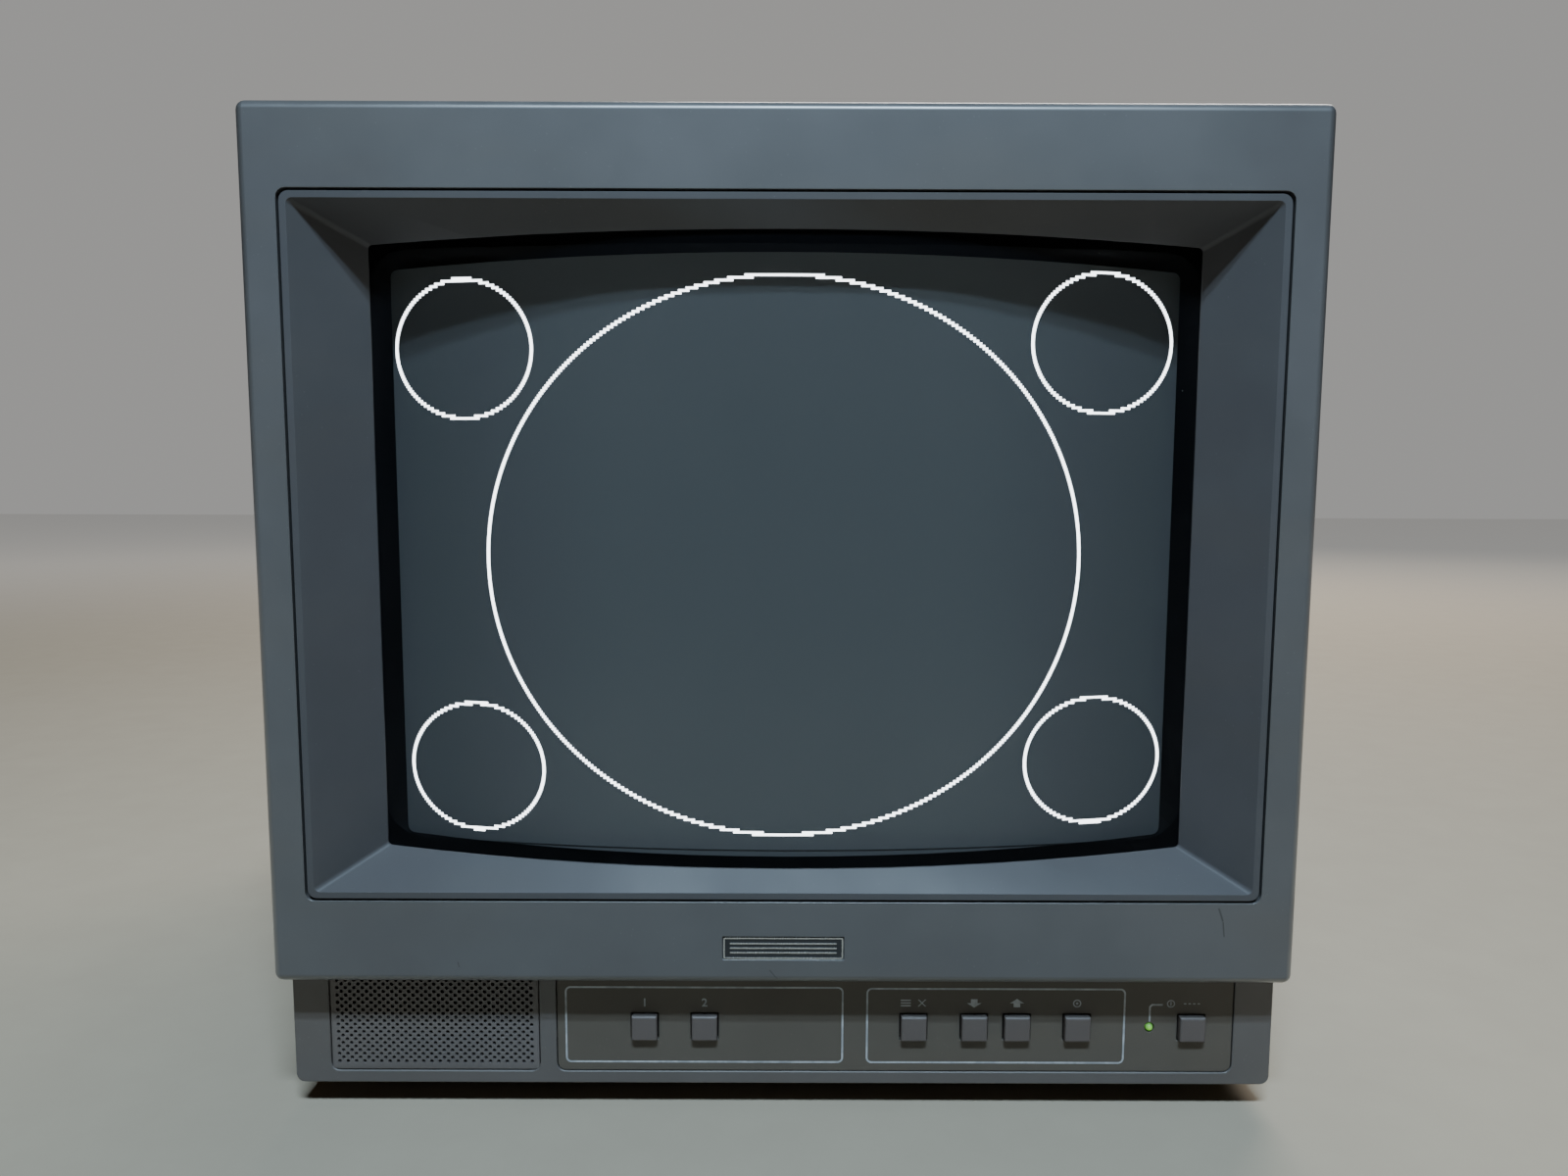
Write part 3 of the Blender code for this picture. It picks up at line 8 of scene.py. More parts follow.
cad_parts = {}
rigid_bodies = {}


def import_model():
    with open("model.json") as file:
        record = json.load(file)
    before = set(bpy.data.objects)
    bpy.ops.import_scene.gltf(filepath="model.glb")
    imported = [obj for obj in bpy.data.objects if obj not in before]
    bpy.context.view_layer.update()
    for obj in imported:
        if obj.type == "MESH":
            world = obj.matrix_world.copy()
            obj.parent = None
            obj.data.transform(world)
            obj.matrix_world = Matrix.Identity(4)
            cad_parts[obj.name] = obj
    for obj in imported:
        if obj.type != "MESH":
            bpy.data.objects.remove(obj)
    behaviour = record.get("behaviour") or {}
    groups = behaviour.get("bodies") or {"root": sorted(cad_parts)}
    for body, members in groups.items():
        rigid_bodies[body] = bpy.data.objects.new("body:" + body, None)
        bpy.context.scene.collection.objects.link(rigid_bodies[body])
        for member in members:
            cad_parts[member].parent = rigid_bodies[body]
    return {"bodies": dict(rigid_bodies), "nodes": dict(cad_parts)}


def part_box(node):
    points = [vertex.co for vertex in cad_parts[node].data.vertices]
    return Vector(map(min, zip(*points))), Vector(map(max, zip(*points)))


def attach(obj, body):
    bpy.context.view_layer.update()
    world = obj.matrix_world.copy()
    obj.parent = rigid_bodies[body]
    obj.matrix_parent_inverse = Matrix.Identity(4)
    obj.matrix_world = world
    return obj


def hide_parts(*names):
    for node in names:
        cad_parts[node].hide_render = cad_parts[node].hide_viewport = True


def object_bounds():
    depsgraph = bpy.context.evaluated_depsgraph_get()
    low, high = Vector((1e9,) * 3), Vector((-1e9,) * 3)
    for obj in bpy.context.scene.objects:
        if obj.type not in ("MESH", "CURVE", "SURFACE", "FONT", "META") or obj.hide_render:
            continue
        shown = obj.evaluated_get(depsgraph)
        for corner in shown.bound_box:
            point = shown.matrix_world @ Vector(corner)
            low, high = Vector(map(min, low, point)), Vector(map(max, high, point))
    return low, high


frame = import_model()
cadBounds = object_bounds()
mm = 0.001
axisZ = 0.196  # height of the tube's axis
keys = ("input_a", "input_b", "menu", "down", "up", "enter", "power")


# Shader and geometry trees


def feed(tree, slot, value):
    if isinstance(value, Signal):
        tree.links.new(value.socket, slot)
    else:
        slot.default_value = value


def maths(tree, operation, *values):
    made = tree.nodes.new("ShaderNodeMath")
    made.operation = operation
    for slot, value in zip(made.inputs, values):
        feed(tree, slot, value)
    return Signal(tree, made.outputs[0])


def does(operation):
    return lambda self, *others: maths(self.tree, operation, self, *others)


class Signal:
    # one socket, so that sums on it read as ordinary expressions
    def __init__(self, tree, socket):
        self.tree = tree
        self.socket = socket

    def __radd__(self, other):
        return maths(self.tree, "ADD", other, self)

    def __rsub__(self, other):
        return maths(self.tree, "SUBTRACT", other, self)

    __add__, __sub__ = does("ADD"), does("SUBTRACT")
    __mul__, __truediv__ = does("MULTIPLY"), does("DIVIDE")
    __pow__, __mod__ = does("POWER"), does("FLOORED_MODULO")
    __gt__, __lt__ = does("GREATER_THAN"), does("LESS_THAN")
    __abs__, root = does("ABSOLUTE"), does("SQRT")
    least, most, floor = does("MINIMUM"), does("MAXIMUM"), does("FLOOR")
    sine, angleTo = does("SINE"), does("ARCTAN2")


class Tree:
    def __init__(self, tree):
        self.tree = tree

    def node(self, kind, settings=None, inputs=None, output=0):
        made = self.tree.nodes.new(kind)
        for key, value in (settings or {}).items():
            setattr(made, key, value)
        for key, value in (inputs or {}).items():
            feed(self.tree, made.inputs[key], value)
        return Signal(self.tree, made.outputs[output])

    def ease(self, value, low, high):  # 0 below low, 1 above high, smooth between
        inputs = {"Value": value, "From Min": low, "From Max": high}
        return self.node("ShaderNodeMapRange", {"interpolation_type": "SMOOTHSTEP"}, inputs)

    def axes(self, signal):
        split = self.node("ShaderNodeSeparateXYZ", inputs={0: signal}).socket.node
        return [Signal(self.tree, output) for output in split.outputs]


def tint(colour, share=1.0):
    return tuple(min(1.0, channel * share) for channel in colour[:3]) + (1.0,)


class Finish(Tree):
    # a material: one Principled shader and the patterns that drive it
    def __init__(self, name, colour, roughness, **constants):
        self.material = bpy.data.materials.new(name)
        self.material.use_nodes = True
        super().__init__(self.material.node_tree)
        self.shader = self.tree.nodes["Principled BSDF"]
        self.shader.inputs["Base Color"].default_value = tint(colour)
        self.shader.inputs["Roughness"].default_value = roughness
        for socket, value in constants.items():
            self.shader.inputs[socket.replace("_", " ")].default_value = value
        self.place = self.node("ShaderNodeTexCoord", output="Object")
        self.normal = self.node("ShaderNodeNewGeometry", output="Normal")

    def axes(self, signal=None):
        return super().axes(signal or self.place)

    def noise(self, scale, detail=2.0, rough=0.5, stretch=None):
        place = self.place
        if stretch:
            place = self.node("ShaderNodeMapping", inputs={"Vector": place, "Scale": stretch})
        inputs = {"Vector": place, "Scale": scale, "Detail": detail, "Roughness": rough}
        return self.node("ShaderNodeTexNoise", inputs=inputs)

    def cells(self, scale, feature="F1", output="Distance", random=1.0):
        inputs = {"Vector": self.place, "Scale": scale, "Randomness": random}
        return self.node("ShaderNodeTexVoronoi", {"feature": feature}, inputs, output)

    def between(self, factor, first, second):
        inputs = {0: factor, 6: first, 7: second}
        return self.node("ShaderNodeMix", {"data_type": "RGBA"}, inputs, 2)

    def drive(self, socket, signal):
        feed(self.tree, self.shader.inputs[socket], signal)

    def emboss(self, height, depth, strength=1.0):
        inputs = {"Height": height, "Distance": depth, "Strength": strength}
        self.drive("Normal", self.node("ShaderNodeBump", inputs=inputs, output="Normal"))

    def seeThrough(self, colour, share):  # clear but for this share of the shader
        window = self.node("ShaderNodeBsdfTransparent", inputs={"Color": colour})
        inputs = {0: share, 1: window, 2: Signal(self.tree, self.shader.outputs[0])}
        mixed = self.node("ShaderNodeMixShader", inputs=inputs)
        feed(self.tree, self.tree.nodes["Material Output"].inputs["Surface"], mixed)

    def capsule(self, start, end, width):  # 1 along a short scratch in the XZ plane
        x, _, z = self.axes()
        runX, runZ = end[0] - start[0], end[1] - start[1]
        length = runX * runX + runZ * runZ
        along = ((x - start[0]) * (runX / length) + (z - start[1]) * (runZ / length)).most(0).least(1)
        gapX = x - start[0] - along * runX
        gapZ = z - start[1] - along * runZ
        return 1 - self.ease((gapX * gapX + gapZ * gapZ).root(), width * 0.3, width)


# Finishes


def mouldedPlastic(name, colour, roughness=0.5, grain=0.35, mottle=0.10, dust=0.25, scuffs=(), bits=0.5,
                   edges=False, sheen=0.5):
    made = Finish(name, colour, roughness, Specular_IOR_Level=sheen)
    cloud = made.noise(22, 3, 0.6)
    streak = made.noise(9, 4, 0.55, stretch=(1, 1, 3.5))
    shade = made.between(made.ease(cloud, 0.3, 0.7), tint(colour, 1 - mottle), tint(colour, 1 + mottle))
    warm = (colour[0] * 1.10, colour[1] * 1.02, colour[2] * 0.92)
    shade = made.between(made.ease(streak, 0.45, 0.8) * 0.5, shade, tint(warm))
    fleck = made.cells(1 / (2.2 * mm))
    lint = (fleck < 0.10) * made.ease(made.noise(60, 2), 0.52, 0.62) * bits
    shade = made.between(lint, shade, tint(colour, 1.7))
    _, back, up = made.axes(made.normal)
    settled = made.ease(up, 0.55, 0.98) * (0.55 + made.noise(110, 4, 0.7) * 0.6) * dust * 0.6
    shade = made.between(settled, shade, (0.30, 0.29, 0.27, 1))
    polish = made.ease(abs(back), 0.15, 0.4) * (1 - made.ease(abs(back), 0.93, 0.995))
    scrape = made.noise(60, 2, 0.5, stretch=(1, 1, 28))
    scraped = made.ease(scrape, 0.70, 0.76) * made.ease(made.noise(14, 2), 0.50, 0.62) * 0.15
    shade = made.between(scraped, shade, tint(colour, 1.45))
    for start, end, width in scuffs:
        shade = made.between(made.capsule(start, end, width) * 0.75, shade, tint(colour, 0.25))
    made.drive("Base Color", shade)
    sparkle = made.noise(1 / (grain * mm), 2, 0.6)
    gloss = roughness + (made.noise(35, 3) - 0.5) * 0.18 + settled * 0.3 + (sparkle - 0.5) * 0.10
    if edges:  # handling has polished the rounded edges
        gloss = gloss - polish * made.ease(made.noise(45, 3), 0.2, 0.6) * 0.16
        made.drive("Coat Weight", polish * (0.45 + made.ease(made.noise(30, 3), 0.3, 0.7) * 0.5))
        made.shader.inputs["Coat Roughness"].default_value = 0.28
    made.drive("Roughness", gloss.most(0.15).least(0.95))
    made.emboss(sparkle, 0.030 * mm, 0.55)
    return made.material


def paintedSteel(name, colour, roughness=0.5, dust=0.4):
    made = Finish(name, colour, roughness, Specular_IOR_Level=0.5)
    cloud = made.noise(8, 3, 0.6)
    shade = made.between(made.ease(cloud, 0.3, 0.7), tint(colour, 0.9), tint(colour, 1.1))
    pebble = made.cells(1 / (1.3 * mm), "SMOOTH_F1")
    shade = made.between(made.ease(pebble, 0.1, 0.7) * 0.35, shade, tint(colour, 0.72))
    _, _, up = made.axes(made.normal)
    settled = made.ease(up, 0.6, 0.98) * (0.6 + made.noise(60, 4, 0.7) * 0.5) * dust
    shade = made.between(settled, shade, (0.30, 0.29, 0.27, 1))
    rub = made.noise(40, 3, 0.5, stretch=(1, 6, 1))
    rubbed = made.ease(rub, 0.68, 0.74) * made.ease(made.noise(11, 2), 0.52, 0.62) * 0.5
    shade = made.between(rubbed, shade, tint(colour, 2.0))
    made.drive("Base Color", shade)
    made.drive("Roughness", (roughness + (cloud - 0.5) * 0.2 + settled * 0.3 - rubbed * 0.15).least(0.95))
    made.emboss(pebble, 0.10 * mm, 0.6)
    return made.material


def bareMetal(name, colour, roughness=0.35, brush=(1, 1, 30), spangle=0.0):
    made = Finish(name, colour, roughness, Metallic=1.0)
    cloud = made.noise(30, 3, 0.6)
    lines = made.noise(420, 2, 0.5, stretch=brush)
    shade = made.between(made.ease(cloud, 0.3, 0.75), tint(colour, 0.82), tint(colour, 1.08))
    if spangle:
        patch = made.cells(1 / (9 * mm), output="Color")
        shade = made.between(made.axes(patch)[0] * spangle, shade, tint(colour, 0.6))
    stain = made.ease(made.noise(70, 4, 0.65), 0.56, 0.75) * 0.35
    shade = made.between(stain, shade, tint((colour[0] * 0.5, colour[1] * 0.42, colour[2] * 0.32)))
    made.drive("Base Color", shade)
    made.drive("Roughness", (roughness + (lines - 0.5) * 0.25 + stain * 0.5).most(0.12).least(0.9))
    made.emboss(lines, 0.02 * mm, 0.35)
    return made.material


def softRubber(name, colour, roughness=0.8):
    made = Finish(name, colour, roughness, Specular_IOR_Level=0.3)
    cloud = made.noise(90, 3, 0.6)
    bloom = made.ease(made.noise(30, 3), 0.45, 0.7) * 0.4
    shade = made.between(cloud, tint(colour, 0.8), tint(colour, 1.3))
    made.drive("Base Color", made.between(bloom, shade, tint(tuple(c * 0.7 + 0.04 for c in colour))))
    made.drive("Roughness", (roughness + (cloud - 0.5) * 0.2).least(0.98))
    made.emboss(made.noise(1800, 3, 0.6), 0.05 * mm, 0.5)
    return made.material


def sootCoat(name, colour, roughness=0.75):  # brushed-on conductive coating
    made = Finish(name, colour, roughness, Specular_IOR_Level=0.35)
    strokes = made.noise(55, 4, 0.6, stretch=(1, 1, 5))
    thin = made.ease(made.noise(26, 3, 0.6), 0.55, 0.75)
    shade = made.between(strokes, tint(colour, 0.6), tint(colour, 2.2))
    made.drive("Base Color", made.between(thin * 0.5, shade, (0.07, 0.07, 0.075, 1)))
    made.drive("Roughness", roughness + (strokes - 0.5) * 0.3)
    made.emboss(strokes, 0.12 * mm, 0.5)
    return made.material


def boardLaminate(name, colour):
    made = Finish(name, colour, 0.38, Specular_IOR_Level=0.5, Coat_Weight=0.25, Coat_Roughness=0.2)
    tracks = made.cells(150, "DISTANCE_TO_EDGE", random=0.55)
    track = 1 - made.ease(tracks, 0.10, 0.14)
    weave = made.noise(1500, 1, 0.5, stretch=(1, 0.15, 1))
    shade = made.between(weave, tint(colour, 0.8), tint(colour, 1.15))
    raised = (colour[0] * 1.6 + 0.03, colour[1] * 1.45, colour[2] * 1.1)
    shade = made.between(track * 0.6, shade, tint(raised))
    pads = made.cells(1 / (6.5 * mm), random=0.85)
    pad = 1 - made.ease(pads, 0.09, 0.11)
    shade = made.between(pad, shade, (0.62, 0.60, 0.55, 1))
    made.drive("Base Color", shade)
    made.drive("Metallic", pad * 0.9)
    made.drive("Roughness", 0.42 - pad * 0.12 + (weave - 0.5) * 0.1)
    made.emboss(track * 0.4 + pad, 0.05 * mm, 0.7)
    return made.material


def woundCopper(name, colour, centreZ):  # 90 wires, spread round the tube's axis
    made = Finish(name, colour, 0.32, Metallic=0.85, Coat_Weight=0.6, Coat_Roughness=0.15)
    x, _, z = made.axes()
    angle = (z - centreZ).angleTo(x)
    groove = (angle * 90).sine() * 0.5 + 0.5
    uneven = made.noise(80, 3)
    # painted shade: the base colour darkens to about a third in the grooves between the wires
    shade = made.between(groove, tint(colour, 0.35), tint(colour, 1.15))
    shade = made.between(made.ease(uneven, 0.5, 0.75) * 0.5, shade, tint((0.30, 0.12, 0.05)))
    made.drive("Base Color", shade)
    made.drive("Roughness", 0.28 + uneven * 0.2)
    made.emboss(groove + uneven * 0.6, 0.25 * mm, 0.8)
    return made.material


def tapeWrap(name, colour, centreZ):  # laps of tape round a coil about the tube's axis
    made = Finish(name, colour, 0.45, Specular_IOR_Level=0.5)
    x, _, z = made.axes()
    turn = ((z - centreZ).angleTo(x) * 22 + (x + z) * 30) % 1.0
    lap = 1 - made.ease(turn, 0.0, 0.12)
    cloud = made.noise(60, 3)
    shade = made.between(cloud, tint(colour, 0.8), tint(colour, 1.5))
    made.drive("Base Color", made.between(lap * 0.6, shade, tint(colour, 3.0)))
    made.drive("Roughness", 0.35 + cloud * 0.3)
    made.emboss(turn, 0.15 * mm, 0.7)
    return made.material


def seeThroughGlass(name, colour, body):
    # clear glass that lets the lamps through: a tinted window with a polished coat over it, whose lit body
    # colour in the steady opaque share is a painted reflection of the dim room
    made = Finish(name, body, 0.05, Specular_IOR_Level=0.5)
    smear = made.ease(made.noise(18, 4, 0.6, stretch=(1, 1, 0.5)), 0.45, 0.75)
    made.drive("Roughness", 0.035 + smear * 0.05)
    specks = made.cells(1 / (7 * mm))
    speck = (specks < 0.028) * made.ease(made.noise(90, 2), 0.55, 0.6)
    made.drive("Base Color", made.between(speck, tint(body), (0.35, 0.34, 0.32, 1)))
    rim = made.node("ShaderNodeLayerWeight", inputs={"Blend": 0.28}, output="Fresnel")
    # painted reflection: the steady share shows the lit body colour in place of the room's reflection; the
    # Fresnel rim, smears and specks add to it
    hazeAndPaintedReflection = 0.05 + rim * 0.6 + smear * 0.012 + speck * 0.5
    made.seeThrough(tint(colour), hazeAndPaintedReflection.least(1.0))
    return made.material


def openGlass(name):  # the inner face of the screen glass, which is seen through and not seen
    made = Finish(name, (0.5, 0.5, 0.5), 0.1)
    ripple = made.noise(40, 2)
    made.drive("Roughness", 0.08 + ripple * 0.05)
    made.drive("Base Color", made.between(ripple, (0.45, 0.48, 0.5, 1), (0.55, 0.57, 0.6, 1)))
    made.seeThrough((1, 1, 1, 1), 0.0)
    return made.material


# Meshes


def mergedCopy(node, flat=0.3):
    # a CAD node's mesh with its loose triangles joined and its flat faces whole
    mesh = frame["nodes"][node].data.copy()
    work = bmesh.new()
    work.from_mesh(mesh)
    bmesh.ops.remove_doubles(work, verts=work.verts, dist=2e-6)
    if flat:
        bmesh.ops.dissolve_limit(work, angle_limit=math.radians(flat), verts=work.verts, edges=work.edges)
    work.to_mesh(mesh)
    work.free()
    mesh.materials.clear()
    return mesh


def place(name, mesh, material=None):
    obj = bpy.data.objects.new(name, mesh)
    bpy.context.scene.collection.objects.link(obj)
    if material:
        mesh.materials.clear()
        mesh.materials.append(material)
    return obj


def settle(obj):
    # turns live modifiers into a plain mesh
    graph = bpy.context.evaluated_depsgraph_get()
    mesh = bpy.data.meshes.new_from_object(obj.evaluated_get(graph), depsgraph=graph)
    old = obj.data
    obj.modifiers.clear()
    obj.data = mesh
    mesh.name = obj.name
    if old.users == 0:
        bpy.data.meshes.remove(old)
    return obj


def shadeSmooth(mesh, angle):
    mesh.shade_smooth()
    mesh.set_sharp_from_angle(angle=math.radians(angle))


def soften(obj, width, segments=2, angle=32):
    # rounds sharp edges and shades the rest smoothly
    if width:
        bevel = obj.modifiers.new("rounding", "BEVEL")
        bevel.width = width
        bevel.segments = segments
        bevel.limit_method = "ANGLE"
        bevel.angle_limit = math.radians(angle)
        bevel.miter_outer = "MITER_ARC"
        settle(obj)
    shadeSmooth(obj.data, 38 if width else angle)
    even = obj.modifiers.new("even", "WEIGHTED_NORMAL")
    even.keep_sharp = True
    settle(obj)


def middleOf(node):
    low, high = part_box(node)
    return (low + high) / 2


def bodyOf(node):
    for body, empty in frame["bodies"].items():
        if frame["nodes"][node].parent == empty:
            return body
    return "root"


def renew(node, material, slot, bevel=0.0, segments=2, angle=32, flat=0.3):
    # a rounded, smooth-shaded stand-in for a CAD node, in the same place and on the same body
    obj = place(node + "_look", mergedCopy(node, flat), material)
    soften(obj, bevel, segments, angle)
    addPiece(obj, bodyOf(node), slot, node)
    return obj


def addPiece(obj, body, slot, *nodes):
    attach(obj, body)
    if nodes:
        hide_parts(*nodes)


def circle(radius, sides):
    turns = [math.tau * i / sides for i in range(sides)]
    return [(radius * math.cos(turn), radius * math.sin(turn)) for turn in turns]


def arcPoints(centre, radius, start, end, steps):
    turns = [math.radians(start + (end - start) * i / steps) for i in range(steps + 1)]
    return [(centre[0] + radius * math.cos(t), centre[1] + radius * math.sin(t)) for t in turns]


def roundedRectangle(box, radii, steps=6, inset=0.0):
    # anticlockwise from the lower right corner; the box is its left, right, bottom and top
    x0, x1, z0, z1 = box[0] + inset, box[1] - inset, box[2] + inset, box[3] - inset
    corners = ((x1, z0, -1, 1), (x1, z1, -1, -1), (x0, z1, 1, -1), (x0, z0, 1, 1))
    points = []
    for turn, (x, z, inX, inZ) in enumerate(corners):
        radius = radii[turn] if isinstance(radii, tuple) else radii
        if radius:
            start = 90 * (turn - 1)
            points += arcPoints((x + inX * radius, z + inZ * radius), radius, start, start + 90, steps)
        else:
            points.append((x, z))
    return points


def slab(work, points, front, back):
    # a closed plate with that outline in the XZ plane, between two depths
    near = [work.verts.new((x, front, z)) for x, z in points]
    far = [work.verts.new((x, back, z)) for x, z in points]
    count = len(points)
    work.faces.new(near)
    work.faces.new(far[::-1])
    for i in range(count):
        work.faces.new((near[i], far[i], far[(i + 1) % count], near[(i + 1) % count]))


def ring(work, outer, inner, front, back):
    # a closed frame between two outlines that have the same number of points
    lines = ((outer, front), (inner, front), (inner, back), (outer, back))
    rows = [[work.verts.new((x, y, z)) for x, z in line] for line, y in lines]
    count = len(outer)
    for i in range(count):
        j = (i + 1) % count
        for k in range(4):
            first, second = rows[k], rows[(k + 1) % 4]
            work.faces.new((first[i], first[j], second[j], second[i]))


def bridge(work, rows):
    # walls between closed rows of points, each row joined to the next
    for first, second in zip(rows, rows[1:]):
        for i in range(len(first)):
            j = (i + 1) % len(first)
            work.faces.new((first[i], first[j], second[j], second[i]))


def built(work, name, material=None):
    # an object with that shape, its faces turned outward
    bmesh.ops.recalc_face_normals(work, faces=work.faces)
    mesh = bpy.data.meshes.new(name)
    work.to_mesh(mesh)
    work.free()
    return place(name, mesh, material)


# Geometry Nodes


class Growth(Tree):
    def __init__(self, name, inputs):
        super().__init__(bpy.data.node_groups.new(name, "GeometryNodeTree"))
        self.names = {}
        for label, kind in inputs.items():
            socket = self.tree.interface.new_socket(label, in_out="INPUT", socket_type="NodeSocket" + kind)
            self.names[label] = socket.identifier
        self.tree.interface.new_socket("Geometry", in_out="OUTPUT", socket_type="NodeSocketGeometry")
        self.given = self.node("NodeGroupInput").socket.node.outputs

    def ask(self, label):
        return Signal(self.tree, self.given[label])

    def shape(self, label):
        inputs = {"Object": self.ask(label)}
        return self.node("GeometryNodeObjectInfo", {"transform_space": "ORIGINAL"}, inputs, "Geometry")

    def gather(self, *parts):
        joined = self.node("GeometryNodeJoinGeometry")
        for part in parts:
            feed(self.tree, joined.socket.node.inputs[0], part)
        return joined

    def end(self, shape, weld=0.0):
        shape = self.node("GeometryNodeRealizeInstances", inputs={"Geometry": shape})
        if weld:
            shape = self.node("GeometryNodeMergeByDistance", inputs={"Geometry": shape, "Distance": weld})
        inputs = {"Geometry": shape, "Material": self.ask("Finish")}
        shape = self.node("GeometryNodeSetMaterial", inputs=inputs)
        out = self.tree.nodes.new("NodeGroupOutput")
        feed(self.tree, out.inputs[0], shape)

    def grow(self, name, values):
        # one plain mesh made by the tree with these inputs
        host = place(name, bpy.data.meshes.new(name))
        modifier = host.modifiers.new("grow", "NODES")
        modifier.node_group = self.tree
        for label, value in values.items():
            modifier[self.names[label]] = value
        return settle(host)


def gridTree():
    # copies of one object on a grid of rows and columns
    tree = Growth("gridOfPieces", {
        "Piece": "Object", "Columns": "Int", "Rows": "Int",
        "Width": "Float", "Height": "Float", "Finish": "Material",
    })
    inputs = {"Size X": tree.ask("Width"), "Size Y": tree.ask("Height")}
    inputs.update({"Vertices X": tree.ask("Columns"), "Vertices Y": tree.ask("Rows")})
    grid = tree.node("GeometryNodeMeshGrid", inputs=inputs, output="Mesh")
    inputs = {"Points": grid, "Instance": tree.shape("Piece")}
    tree.end(tree.node("GeometryNodeInstanceOnPoints", inputs=inputs))
    return tree


def brickTree():
    # pierced tiles in staggered rows, half tiles at the ends of every other row, and a plain margin
    tree = Growth("staggeredHoles", {
        "Tile": "Object", "Half Tile": "Object", "Margin": "Object",
        "Pitch": "Float", "Row Pitch": "Float",
        "Columns": "Int", "Rows": "Int", "Finish": "Material",
    })
    pitch, rowPitch = tree.ask("Pitch"), tree.ask("Row Pitch")
    columns, rows = tree.ask("Columns"), tree.ask("Rows")
    width, height = (columns - 1) * pitch, (rows - 1) * rowPitch
    x, y, _ = tree.axes(tree.node("GeometryNodeInputPosition"))
    odd = ((y + height / 2) / rowPitch + 0.5).floor() % 2

    def grid(across, count):
        inputs = {"Size X": across, "Size Y": height, "Vertices X": count, "Vertices Y": rows}
        return tree.node("GeometryNodeMeshGrid", inputs=inputs, output="Mesh")

    shift = tree.node("ShaderNodeCombineXYZ", inputs={0: odd * pitch / 2})
    full = tree.node("GeometryNodeSetPosition", inputs={"Geometry": grid(width, columns), "Offset": shift})
    beyond = x > width / 2 + pitch / 4
    full = tree.node("GeometryNodeDeleteGeometry", inputs={"Geometry": full, "Selection": beyond})
    tiles = tree.node("GeometryNodeInstanceOnPoints", inputs={"Points": full, "Instance": tree.shape("Tile")})
    ends = grid(width + pitch / 2, 2)
    inputs = {"Points": ends, "Instance": tree.shape("Half Tile"), "Selection": odd > 0.5}
    halves = tree.node("GeometryNodeInstanceOnPoints", inputs=inputs)
    tree.end(tree.gather(tiles, halves, tree.shape("Margin")), weld=0.004 * mm)
    return tree


def scatterTree():
    # upright copies of one object strewn over a field, each turned by some quarter turns
    tree = Growth("strewnParts", {
        "Piece": "Object", "Field": "Object", "Spacing": "Float",
        "Density": "Float", "Seed": "Int", "Finish": "Material",
    })
    inputs = {"Mesh": tree.shape("Field"), "Distance Min": tree.ask("Spacing")}
    inputs.update({"Density Max": tree.ask("Density"), "Seed": tree.ask("Seed")})
    points = tree.node("GeometryNodeDistributePointsOnFaces", {"distribute_method": "POISSON"}, inputs)
    inputs = {4: 0, 5: 3, "Seed": tree.ask("Seed")}
    quarters = tree.node("FunctionNodeRandomValue", {"data_type": "INT"}, inputs, 2)
    turn = tree.node("ShaderNodeCombineXYZ", inputs={2: quarters * (math.pi / 2)})
    inputs = {"Points": points, "Instance": tree.shape("Piece"), "Rotation": turn}
    tree.end(tree.node("GeometryNodeInstanceOnPoints", inputs=inputs))
    return tree


# Finishes used on more than one piece

greyMoulding = dict(colour=(0.090, 0.088, 0.091), roughness=0.50, grain=0.30, mottle=0.07, sheen=0.9)
zinc = bareMetal("zincSheet", (0.56, 0.56, 0.53), 0.36, spangle=0.5)
screwZinc = bareMetal("screwZinc", (0.50, 0.49, 0.45), 0.30)
blackPlastic = mouldedPlastic("blackPlastic", (0.016, 0.016, 0.018), 0.42, grain=0.4, dust=0.15)
nickel = bareMetal("nickelPlate", (0.62, 0.59, 0.53), 0.22, brush=(1, 12, 1))
rubber = softRubber("footRubber", (0.018, 0.018, 0.019))
screwBlack = bareMetal("screwBlack", (0.05, 0.05, 0.052), 0.34)


# Head


